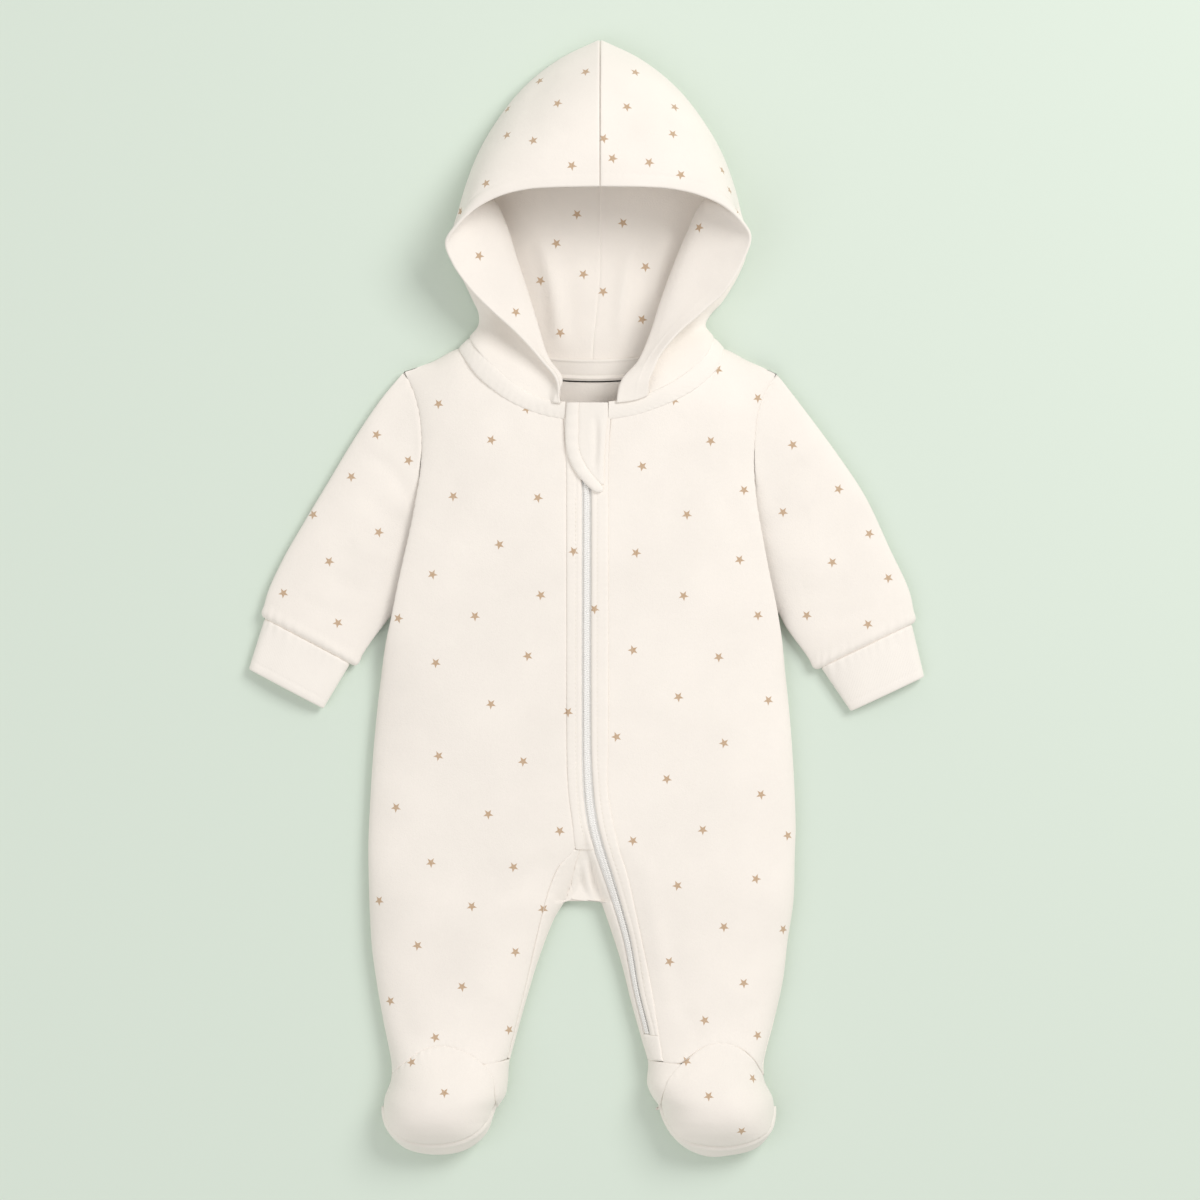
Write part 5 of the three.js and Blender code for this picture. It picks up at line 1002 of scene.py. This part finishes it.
# Hood. Columns: y of the centre seam; the turn; the height above the turn and between turn and fold; the
# fold; the brim; how much of the inner fold there is; and the bow beside the neckband.
HOOD_RIBS = {
    "right": [
        (150.4, -74, 168.4, 17, 23.4, -20.5, 129.4, 27.6, -16.6, 127.4, 29.4, 1, 10),
        (158, -69.4, 176, 13, 20, -16.6, 139.8, 26.8, -20.2, 140.4, 30.2, 1, 6),
        (170, -69.6, 184, 10.5, 16, -25.5, 153.6, 25.4, -31, 154.2, 30.6, 1, 2.5),
        (186, -73.4, 192.5, 10, 13.5, -33, 177, 22, -46.4, 170.3, 31.6, 1, 0.8),
        (204, -78.4, 203, 9.6, 12, -39.4, 198, 19.4, -61.6, 184, 32.6, 1, 0),
        (222, -83.6, 214, 9.4, 11, -46.4, 219, 17.4, -74.7, 197.2, 34, 1, 0),
        (240, -87, 225.5, 9.4, 10.6, -53, 240, 16.4, -86.6, 214, 36.6, 1, 0),
        (256, -86, 238.5, 9.6, 12, -60.5, 257, 18, -91, 227.2, 40, 0.95, 0),
        (275, -82.6, 249.5, 10, 15, -70, 258, 24, -84.2, 237, 45, 0.4, 0),
        (293, -78.8, 261.5, 10, 15, -74, 262, 26, -71.1, 248.6, 50, 0, 0),
        (310, -70.2, 285, 10, 15, -60, 280, 30, -54.9, 256.6, 54, 0, 0),
        (325, -59.2, 305, 10, 15, -50, 290, 30, -37.6, 260.6, 56, 0, 0),
        (336, -41.4, 328, 10, 15, -30, 310, 30, -20.4, 261.7, 57, 0, 0),
        (342, -17.8, 347, 10, 15, -10, 320, 30, -5.6, 262, 57.6, 0, 0),
        (345, 8.2, 359.8, 10, 15, 8.2, 330, 30, 8.2, 262.2, 58, 0, 0),
    ],
    "left": [
        (150.4, 81, 168.2, 17, 23.4, 19.5, 128.2, 27.6, 38, 133.6, 30, 1, -11),
        (158, 76, 175.5, 13, 20, 23.6, 139.6, 26.8, 42.4, 144, 30.6, 1, -6.5),
        (170, 79.4, 183, 10.5, 16, 33.6, 151, 25.4, 47.2, 155, 31, 1, -2.5),
        (186, 86.4, 190.5, 10, 13.5, 41.2, 168, 22.6, 58.6, 169, 32, 1, -0.8),
        (204, 92.8, 200, 9.6, 12, 47.5, 188, 19.8, 74.4, 182.8, 33, 1, 0),
        (222, 98.2, 210, 9.4, 11, 55, 209, 17.4, 89.6, 196.8, 34.6, 1, 0),
        (240, 102.4, 221, 9.4, 10.6, 64, 231, 16.4, 100.6, 215, 37, 1, 0),
        (256, 102.6, 236, 9.6, 12, 76, 257, 18, 105.6, 230.5, 41, 0.95, 0),
        (275, 99, 248.5, 10, 15, 84, 258, 24, 101, 238.6, 45.6, 0.4, 0),
        (293, 95.4, 261.5, 10, 15, 90, 262, 26, 88.6, 249.4, 50, 0, 0),
        (310, 87.2, 285, 10, 15, 77, 280, 30, 72, 256.8, 54, 0, 0),
        (325, 76.2, 305, 10, 15, 67, 290, 30, 54.6, 260.7, 56, 0, 0),
        (336, 58.4, 328, 10, 15, 47, 310, 30, 37.2, 261.9, 57, 0, 0),
        (342, 34.7, 347, 10, 15, 27, 320, 30, 22.6, 262.1, 57.6, 0, 0),
        (345, 8.7, 359.8, 10, 15, 8.7, 330, 30, 8.7, 262.2, 58, 0, 0),
    ],
}
HOOD_REST = HOOD_CLOTH / 2
TURN_DEPTH = 8.0
FOLD_RADIUS = 2.6
FOLD_DEPTH = 4.0
SHORT_RIB = 40.0
ABOVE_SHARE = 0.5
STRAIGHT_STOPS = (0.13, 0.28, 0.42, 0.56, 0.7, 0.85, 1)
# Soft folds of the hood's back layer, seen through its opening, and of its crown.
HOOD_BACK_CREASES = [
    (-30, 232, -18, 168, 5.5, 2.6, 2), (-43, 240, -30, 172, 5, -2.0, 2), (-14, 226, -8, 166, 4, -1.3, 1),
    (30, 230, 22, 168, 4.5, 1.8, -2), (44, 236, 32, 176, 5, -1.8, -2), (54, 240, 44, 190, 5, 1.4, -2)]
CROWN_CREASES = [
    (-26, 338, -38, 290, 10, -0.8, -4), (-60, 290, -74, 256, 8, 0.7, -3), (44, 330, 54, 288, 10, -0.8, 4),
    (70, 296, 88, 262, 8, 0.6, 3), (-20, 300, -40, 276, 9, 0.5, 2), (34, 304, 52, 280, 9, 0.5, -2)]


def rib_controls(rib, side):
    """The eleven points that a rib's curve goes through: centre seam, level part, turn, and then either
    in to the fold and out to the brim, or straight over to the brim, or a blend of the two."""
    seam_y, turn_x, turn_y, rise, between_z, fold_x, fold_y, fold_z, brim_x, brim_y, brim_z, folded, bow = rib
    seam = np.array([HOOD_CENTRE + side * 0.25 - 5 * smooth(215, 150, seam_y), seam_y, HOOD_REST])
    turn = np.array([turn_x, turn_y, 0.0])
    fold = np.array([fold_x, fold_y, fold_z])
    brim = np.array([brim_x, brim_y, brim_z])
    flat = np.array([1.0, 1.0, 0.0])
    inward = (seam - turn) * flat
    if np.linalg.norm(inward) < SHORT_RIB:
        inward = np.array([0.0, -1.0, 0.0])
    inward = unit(inward)

    def at(point, z):
        return np.array([point[0], point[1], z])

    level = at(turn + inward * TURN_DEPTH, HOOD_REST)
    above = at(turn + inward * (TURN_DEPTH - 1), rise)
    outward = unit((turn - fold) * flat)
    below = at(fold + outward * FOLD_DEPTH, fold_z - FOLD_RADIUS)
    over = unit((brim - fold) * flat)
    reach = min(FOLD_DEPTH, np.linalg.norm(brim - fold) * 0.4)
    on_top = at(fold + over * reach, lerp(fold_z, brim_z, 0.3))
    aside = np.array([-outward[1], outward[0], 0.0]) * bow
    between = at((above + below) / 2, between_z) + aside
    above = above + aside * ABOVE_SHARE
    folded_points = [above, between, below, fold, on_top, (on_top + brim) / 2, brim]
    straight = [at(lerp(turn, brim, w ** 1.45), lerp(rise * 0.8, brim_z, 1 - (1 - w) ** 1.7))
                for w in STRAIGHT_STOPS]
    turn_z = lerp(rise * 0.8, (rise + HOOD_REST) / 2, folded)
    later = [lerp(p, q, folded) for p, q in zip(straight, folded_points)]
    return [seam, (seam + level) / 2, level, at(turn, turn_z), *later]


HOOD_SEAM = spline(np.array(NECKBAND_ROWS, float)[:, 3:], np.linspace(0, len(NECKBAND_ROWS) - 1, 4000))


def hood_wall(side, sign):
    """A hood half: a loft of ribs, with its centre seam, hem line, soft folds and rounded brim."""
    ribs = HOOD_RIBS[side]
    controls = np.array([rib_controls(rib, sign) for rib in ribs])
    last = len(ribs) - 1
    row_shares = np.concatenate([[0, 0.002, 0.006], np.linspace(0.012, 0.985, 128),
                                 [0.99, 0.994, 0.997, 0.999, 1]])
    at_rows = last * row_shares
    lengthwise = spline(np.swapaxes(controls, 0, 1), at_rows)
    near_brim = 10 - np.array([0.06, 0.035, 0.018, 0.008, 0])
    at_columns = np.concatenate([[0, 0.02, 0.05, 0.09, 0.15], np.linspace(0.22, 9.9, 124), near_brim])
    grid = spline(np.swapaxes(lengthwise, 0, 1), at_columns)
    cells = grid_cells(*grid.shape[:2])
    grid = seated(spread(grid, (0.5, 0, 0.35, 0)), HOOD_SEAM)
    normals = sheet_normals(grid.reshape(-1, 3), cells).reshape(grid.shape)
    top, bottom, first, brim, across = edge_distances(grid)
    x, y = grid[..., 0], grid[..., 1]
    stop = at_columns[None, :]
    back_layer = smooth(3.0, 2.2, stop) + 0 * x
    outer_layer = smooth(3.6, 5, stop) + 0 * x
    crown = outer_layer * smooth(246, 262, y)
    inside = creases(x, y, HOOD_BACK_CREASES) * back_layer * smooth(2, 10, first)
    lift = np.maximum(inside, -0.8)
    outside = creases(x, y, CROWN_CREASES) * crown
    outside = outside + drift(x, y, 0.4, 1.7 + sign) * outer_layer * smooth(0, 8, brim)
    hem = 0.25 * np.exp(-(((brim - 4) / 3) ** 2)) - 0.3 * np.exp(-(((brim - 8.2) / 0.8) ** 2))
    hem = hem * outer_layer
    pucker = puckers(top, brim - 8.2, 0.13, 4.1, 3, 0.5 + sign) * outer_layer
    seam = seam_dip(first, 0.55, 1.6) + seam_dip(bottom, 0.6, 1.6) + seam_dip(top, 0.5, 1.4)
    half = HOOD_CLOTH / 2 * np.maximum(roll(brim, HOOD_CLOTH / 2), 0.06)
    faces_up = np.sign(np.sum(normals[:, :8, 2]))
    middle = grid + np.array([0, 0, 1.0]) * lift[..., None] * (lift > 0)[..., None]
    middle[..., 2] += np.minimum(lift, 0) * 0.5
    outward = -faces_up
    relief = outside + hem + pucker
    outer = middle + normals * (outward * (half + relief + seam))[..., None]
    inner = middle - normals * (outward * (half + seam * 0.8 - 0.5 * np.minimum(relief, 0)))[..., None]
    seam_x = HOOD_CENTRE
    for face in (outer, inner):
        if sign < 0:
            face[..., 0] = np.minimum(face[..., 0], seam_x)
        else:
            face[-6:, :, 0] = np.maximum(face[-6:, :, 0], seam_x)
        face[..., 2] = np.maximum(face[..., 2], 0)
    wall("hood_" + side, outer, inner, cells, "fleece", top, across)


hood_wall("right", -1)
hood_wall("left", 1)

# Print: where the photo shows a star, in its own picture units from the middle of the zip's top.
UNIT = 0.65
STAR_SIZE = 3.5
STARS = [
    (437, 402), (489, 440), (451, 497), (536, 497), (407, 461), (497, 547), (431, 576), (474, 616),
    (540, 595),
    (573, 551), (434, 663), (527, 656), (566, 710), (489, 704), (438, 756), (522, 763), (394, 808),
    (487, 814),
    (561, 833), (429, 862), (515, 868), (471, 908), (378, 900), (415, 947), (517, 953), (464, 987),
    (389, 1001),
    (545, 910), (434, 1037), (510, 1030), (442, 1091), (410, 1060), (397, 620), (526, 408), (643, 467),
    (713, 442), (759, 398), (720, 369), (676, 402), (746, 490), (689, 514), (638, 554), (741, 560),
    (685, 598),
    (760, 617), (634, 651), (594, 609), (721, 657), (680, 697), (770, 701), (617, 735), (726, 744),
    (668, 781),
    (763, 796), (790, 836), (705, 830), (635, 843), (758, 877), (679, 886), (785, 931), (725, 929),
    (671, 962),
    (745, 985), (703, 1018), (760, 1037), (684, 1059), (755, 1077), (710, 1094), (744, 1133), (350, 478),
    (380, 531), (328, 563), (281, 591), (340, 623), (375, 434), (311, 514), (794, 443), (785, 513),
    (841, 490),
    (834, 561), (871, 533), (889, 577), (806, 617), (869, 623), (634, 70), (668, 72), (626, 105), (676, 105),
    (675, 134), (604, 137), (531, 140), (570, 164), (540, 79), (586, 70), (556, 101), (506, 107), (506, 133),
    (484, 181), (458, 210), (614, 156), (651, 160), (683, 174), (723, 168), (732, 188), (740, 209),
    (577, 212),
    (622, 223), (558, 243), (542, 282), (584, 276), (602, 291), (645, 267), (640, 321), (558, 335),
    (516, 310),
    (480, 256), (697, 230)]
CAMERA_HEIGHT = 3900.0
CAMERA_MIDDLE = (8.45, -2.6)


def print_stars():
    """Gives each printed face of the fleece its corners' places in the nearest star, in star sizes. Stars
    that show follow the photo; out of its sight they go on in staggered rows of the same spacing."""
    rng = np.random.default_rng(7)
    printed = {name: p for name, p in PIECES.items() if p["look"] == "fleece"}
    for piece in printed.values():
        quads, points = piece["quads"], piece["points"]
        piece["star"] = np.full((len(quads), 4, 2), 9.0)
        piece["middle"] = points[quads].mean(1)
        piece["facing"] = unit(cell_directions(points, quads))
    names = list(printed)
    middles = np.concatenate([printed[n]["middle"] for n in names])
    facings = np.concatenate([printed[n]["facing"] for n in names])
    shrink = 1 - middles[:, 2:] / CAMERA_HEIGHT
    seen = (middles[:, :2] - CAMERA_MIDDLE) / shrink + CAMERA_MIDDLE
    centres = []
    for px, py in STARS:
        at = np.array([(px - 587) * UNIT, (596 - py) * UNIT])
        close = np.flatnonzero((np.abs(seen - at).max(1) < 1.6) & (facings[:, 2] > 0.05))
        if len(close):
            best = close[np.argmax(middles[close, 2])]
            centres.append((middles[best], facings[best]))
    low = facings[:, 2] < -0.3
    for row, y in enumerate(np.arange(-345, 350, 31.0)):
        for x in np.arange(-205 + (row % 2) * 23, 215, 46.0):
            at = np.array([x, y]) + rng.uniform(-5, 5, 2)
            close = np.flatnonzero((np.abs(middles[:, :2] - at).max(1) < 1.8) & low)
            if len(close):
                best = close[np.argmin(middles[close, 2])]
                centres.append((middles[best], facings[best]))
    for centre, facing in centres:
        turn = rng.uniform(-0.3, 0.3)
        side = unit(np.cross(facing, [-math.sin(turn), -math.cos(turn), 0.0]) * -1)
        up = np.cross(facing, side) * (1 if facing[2] > 0 else -1)
        for name in names:
            piece = printed[name]
            if np.any(centre < piece["points"].min(0) - 5) or np.any(centre > piece["points"].max(0) + 5):
                continue
            close_by = np.linalg.norm(piece["middle"] - centre, axis=1) < 5.2
            near = np.flatnonzero(close_by & (piece["facing"] @ facing > 0.2))
            if len(near):
                offset = piece["points"][piece["quads"][near]] - centre
                piece["star"][near] = np.stack([offset @ side, offset @ up], -1) / STAR_SIZE


print_stars()


def nodes_of(name, roughness, sheen=0.25):
    """A new material with its node tree, its principled shader and a function that adds a node."""
    material = bpy.data.materials.new(name)
    material.use_nodes = True
    tree = material.node_tree
    shader = tree.nodes["Principled BSDF"]
    shader.inputs["Roughness"].default_value = roughness
    shader.inputs["Sheen Weight"].default_value = sheen
    shader.inputs["Sheen Roughness"].default_value = 0.6

    def add(kind, values=(), **settings):
        node = tree.nodes.new("ShaderNode" + kind)
        for key, value in settings.items():
            setattr(node, key, value)
        for socket, value in dict(values).items():
            if isinstance(value, bpy.types.NodeSocket):
                tree.links.new(value, node.inputs[socket])
            else:
                node.inputs[socket].default_value = value
        return node

    return material, tree, shader, add


def cloth_material(name, colour, nap=0.5, star=False, rib=0.0, weave=0.0):
    """Soft cloth: faint mottling, a fine nap as bump and, where asked, printed stars, ribs or a weave."""
    material, tree, shader, add = nodes_of(name, 0.93)
    place = add("TexCoord").outputs["Object"]
    mottle = add("TexNoise", {"Vector": place, "Scale": 22, "Detail": 3, "Roughness": 0.5}).outputs[0]
    tint = add("MapRange", {0: mottle, 1: 0.3, 2: 0.7, 3: 0.965, 4: 1.02}).outputs[0]
    base = add("MixRGB", {0: 1.0, 1: (*colour, 1), 2: tint}, blend_type="MULTIPLY").outputs[0]
    if star:
        offset = add("Attribute", attribute_name="star").outputs["Vector"]
        split = add("SeparateXYZ", {0: offset})
        x, y = split.outputs[0], split.outputs[1]
        angle = add("Math", {0: x, 1: y}, operation="ARCTAN2").outputs[0]
        radius = add("VectorMath", {0: offset}, operation="LENGTH").outputs["Value"]
        sector = 2 * math.pi / 5
        turned = add("Math", {0: angle, 1: sector / 2 + 2 * sector}, operation="ADD").outputs[0]
        wrapped = add("Math", {0: turned, 1: sector}, operation="MODULO").outputs[0]
        from_tip = add("Math", {0: wrapped, 1: sector / 2}, operation="SUBTRACT").outputs[0]
        folded = add("Math", {0: from_tip}, operation="ABSOLUTE").outputs[0]
        inner = 0.42
        a, b = inner * math.sin(sector / 2), 1 - inner * math.cos(sector / 2)
        cosine = add("Math", {0: folded}, operation="COSINE").outputs[0]
        sine = add("Math", {0: folded}, operation="SINE").outputs[0]
        first = add("Math", {0: cosine, 1: a}, operation="MULTIPLY").outputs[0]
        both = add("Math", {0: sine, 1: b, 2: first}, operation="MULTIPLY_ADD").outputs[0]
        reach = add("Math", {0: both, 1: radius}, operation="MULTIPLY").outputs[0]
        ink = add("MapRange", {0: reach, 1: a * 0.86, 2: a * 1.1, 3: 0.95, 4: 0.0}).outputs[0]
        worn = add("TexNoise", {"Vector": place, "Scale": 1400, "Detail": 2}).outputs[0]
        uneven = add("MapRange", {0: worn, 1: 0.25, 2: 0.75, 3: 0.72, 4: 1.0}).outputs[0]
        amount = add("Math", {0: ink, 1: uneven}, operation="MULTIPLY").outputs[0]
        base = add("MixRGB", {0: amount, 1: base, 2: (*STAR_COLOUR, 1)}).outputs[0]
    tree.links.new(base, shader.inputs["Base Color"])
    fine = add("TexNoise", {"Vector": place, "Scale": 900, "Detail": 4, "Roughness": 0.65}).outputs[0]
    soft = add("TexNoise", {"Vector": place, "Scale": 160, "Detail": 3, "Roughness": 0.5}).outputs[0]
    height = add("Math", {0: soft, 1: 0.8, 2: fine}, operation="MULTIPLY_ADD").outputs[0]
    if rib or weave:
        own = add("UVMap", uv_map="cloth").outputs[0]
        parts = add("SeparateXYZ", {0: own})
        pitch = rib or weave
        waves = add("Math", {0: parts.outputs[0], 1: 2 * math.pi / pitch}, operation="MULTIPLY").outputs[0]
        wave = add("Math", {0: waves}, operation="SINE").outputs[0]
        height = add("Math", {0: wave, 1: 0.25, 2: height}, operation="MULTIPLY_ADD").outputs[0]
        if weave:
            waves = {0: parts.outputs[1], 1: 2 * math.pi / pitch}
            along = add("Math", waves, operation="MULTIPLY").outputs[0]
            cross = add("Math", {0: along}, operation="SINE").outputs[0]
            height = add("Math", {0: cross, 1: 0.55, 2: height}, operation="MULTIPLY_ADD").outputs[0]
    bump = add("Bump", {"Strength": nap, "Distance": 0.00035, "Height": height})
    tree.links.new(bump.outputs[0], shader.inputs["Normal"])
    return material


def plain_material(name, colour, roughness, sheen=0.0):
    """A material of one colour."""
    material, _, shader, _ = nodes_of(name, roughness, sheen)
    shader.inputs["Base Color"].default_value = (*colour, 1)
    return material


MATERIALS = {
    "fleece": cloth_material("fleece", FLEECE_COLOUR, star=True),
    "plain": cloth_material("plain", PLAIN_COLOUR),
    "rib": cloth_material("rib", RIB_COLOUR, 0.3, rib=1.1),
    "tape": cloth_material("tape", TAPE_COLOUR, 0.2, weave=0.9),
    "zip": plain_material("zip", TEETH_COLOUR, 0.45),
    "thread": plain_material("thread", THREAD_COLOUR, 0.7, 0.2),
}


def mesh_object(name, points, quads, look, weave=None, star=None):
    """A smooth mesh object in metres at the origin, from points in mm and four corners a face."""
    mesh = bpy.data.meshes.new(name)
    mesh.vertices.add(len(points))
    mesh.vertices.foreach_set("co", ((points - ORIGIN) * METRE).astype(np.float32).ravel())
    mesh.loops.add(quads.size)
    mesh.loops.foreach_set("vertex_index", quads.astype(np.int32).ravel())
    mesh.polygons.add(len(quads))
    mesh.polygons.foreach_set("loop_start", np.arange(0, quads.size, 4, dtype=np.int32))
    mesh.polygons.foreach_set("loop_total", np.full(len(quads), 4, dtype=np.int32))
    mesh.update(calc_edges=True)
    mesh.validate()
    mesh.polygons.foreach_set("use_smooth", np.ones(len(quads), bool))
    if weave is not None:
        layer = mesh.uv_layers.new(name="cloth")
        layer.uv.foreach_set("vector", weave[quads].astype(np.float32).ravel())
    if star is not None:
        offsets = np.concatenate([star.reshape(-1, 2), np.zeros((quads.size, 1))], 1)
        layer = mesh.attributes.new("star", "FLOAT_VECTOR", "CORNER")
        layer.data.foreach_set("vector", offsets.astype(np.float32).ravel())
    mesh.set_sharp_from_angle(angle=math.radians(62))
    mesh.materials.append(MATERIALS[look])
    thing = bpy.data.objects.new(name, mesh)
    bpy.context.scene.collection.objects.link(thing)
    return thing


for name, piece in PIECES.items():
    thing = mesh_object("cloth_" + name, piece["points"], piece["quads"], piece["look"], piece["weave"],
                        piece.get("star"))
    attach(thing, "root")
    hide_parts(name)


def lozenges(centres, along, up, length, width, height, rings=5):
    """Small capsules, one for each centre: six-sided rings along each, with closed ends."""
    sides = 6
    t = np.linspace(-1, 1, rings)
    size = np.sqrt(np.clip(1 - t * t * 0.96, 0, 1))
    angle = np.arange(sides) * 2 * math.pi / sides
    across = np.cross(up, along)
    offset = (along[:, None, None] * (t * length / 2)[None, :, None, None]
              + across[:, None, None] * (size[:, None] * np.cos(angle) * width / 2)[None, ..., None]
              + up[:, None, None] * (size[:, None] * np.sin(angle) * height / 2)[None, ..., None])
    points = (centres[:, None, None] + offset).reshape(-1, 3)
    around = grid_cells(rings, sides, True)
    end = np.array([(0, 1, 2, 3), (0, 3, 4, 5)])
    one = np.concatenate([around, end[:, ::-1], end + (rings - 1) * sides])
    starts = np.arange(len(centres))[:, None, None] * rings * sides
    return points, (one[None] + starts).reshape(-1, 4)


def seam_line(curve, spacing, lift):
    """Evenly spaced places along a plan line on the front, with their directions along and up."""
    x, y = curve
    z = front_height(x, y)
    path = np.stack([x, y, z], -1) + front_normal(x, y) * lift
    length = np.concatenate([[0], np.cumsum(np.linalg.norm(np.diff(path, axis=0), axis=1))])
    at = np.arange(spacing / 2, length[-1], spacing)
    centres = np.stack([np.interp(at, length, path[:, k]) for k in range(3)], -1)
    ahead = np.stack([np.interp(at + 0.5, length, path[:, k]) for k in range(3)], -1)
    behind = np.stack([np.interp(at - 0.5, length, path[:, k]) for k in range(3)], -1)
    along = unit(ahead - behind)
    up = front_normal(centres[:, 0], centres[:, 1])
    return centres, along, unit(up - along * np.sum(up * along, -1, keepdims=True))


STITCH_LENGTH, STITCH_GAP, STITCH_WIDTH = 2.1, 0.8, 0.42


def stitches(name, curve, lift):
    """A row of topstitches on the front along a plan line, as one object."""
    centres, along, up = seam_line(curve, STITCH_LENGTH + STITCH_GAP, lift)
    points, quads = lozenges(centres, along, up, STITCH_LENGTH, STITCH_WIDTH, STITCH_WIDTH)
    thing = mesh_object("stitches_" + name, points, quads, "thread")
    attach(thing, "root")
    return thing


def down_line(edge, shift, top, bottom):
    """A plan line that runs down beside an edge, shifted from it."""
    y = np.linspace(top, bottom, 500)
    return edge(y) + shift, y


STITCHED = {
    "placket_right": stitches("placket_right", down_line(OPEN_RIGHT, -3.6, 64, RIGHT_PLACKET_END + 2),
                              PLACKET_LIFT - 0.2),
    "placket_left": stitches("placket_left", down_line(OPEN_LEFT, 3.6, 64, ZIP_END + 4), PLACKET_LIFT - 0.2),
}


def zip_teeth():
    """The coil: two rows of small loops, each reaching just over the zip's middle, on one cord each."""
    y = np.linspace(SLIDER_END - 0.5, ZIP_END + 1, 900)
    centres, along, up = seam_line((zip_middle(y), y), 1.15, TAPE_LIFT + COIL_HEIGHT * 0.7)
    across = np.cross(up, along)
    half = (OPEN_LEFT(centres[:, 1]) - OPEN_RIGHT(centres[:, 1])) * 0.28
    parts, count = [], 0
    quads = []
    for side in (-1, 1):
        shifted = centres + across * (side * half * 0.42)[:, None] + along * (0.29 * side)
        points, cells = lozenges(shifted, across, up, 1.0, 1.3, COIL_HEIGHT)
        stretch = (points.reshape(len(shifted), -1, 3) - shifted[:, None])
        reach = np.sum(stretch * across[:, None], -1, keepdims=True) * across[:, None]
        points = (shifted[:, None] + stretch + reach * (half * 1.25 - 1)[:, None, None]).reshape(-1, 3)
        parts.append(points)
        quads.append(cells + count)
        count += len(points)
    thing = mesh_object("zip_coil_teeth", np.concatenate(parts), np.concatenate(quads), "zip")
    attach(thing, "root")
    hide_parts("zip_coil")


zip_teeth()
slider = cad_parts["zip_slider"]
slider.data.materials.clear()
slider.data.materials.append(MATERIALS["zip"])

# Studio
floor_mesh = bpy.data.meshes.new("floor")
floor_mesh.from_pydata([(-6, -6, 0), (6, -6, 0), (6, 6, 0), (-6, 6, 0)], [], [(0, 1, 2, 3)])
floor = bpy.data.objects.new("floor", floor_mesh)
floor_mesh.materials.append(plain_material("floor", FLOOR_COLOUR, 0.95))
bpy.context.scene.collection.objects.link(floor)
floor.location.z = -0.0003


def area_light(name, place, target, size, energy, colour=(1, 1, 1)):
    """A square soft light that faces a target."""
    data = bpy.data.lights.new(name, "AREA")
    data.shape, data.size, data.energy, data.color = "SQUARE", size, energy, colour
    thing = bpy.data.objects.new(name, data)
    thing.location = place
    direction = Vector(target) - Vector(place)
    thing.rotation_euler = direction.to_track_quat("-Z", "Y").to_euler()
    bpy.context.scene.collection.objects.link(thing)


area_light("key", (1.5, 1.3, 2.0), (0, 0, 0), 1.3, 40, (1, 0.99, 0.975))
area_light("fill", (-1.6, -1.0, 2.4), (0, 0, 0), 2.6, 19)
world = bpy.data.worlds.new("studio")
world.use_nodes = True
world.node_tree.nodes["Background"].inputs[0].default_value = (1.0, 0.975, 0.94, 1)
world.node_tree.nodes["Background"].inputs[1].default_value = 0.55
bpy.context.scene.world = world
bpy.context.scene.view_settings.view_transform = "Standard"

camera_data = bpy.data.cameras.new("camera")
camera_data.lens = 180
camera_data.sensor_width = 36
camera_data.clip_start, camera_data.clip_end = 0.1, 20
camera = bpy.data.objects.new("camera", camera_data)
camera.location = ((CAMERA_MIDDLE[0] - ORIGIN[0]) * METRE, (CAMERA_MIDDLE[1] - ORIGIN[1]) * METRE,
                   CAMERA_HEIGHT * METRE)
bpy.context.scene.collection.objects.link(camera)
bpy.context.scene.camera = camera
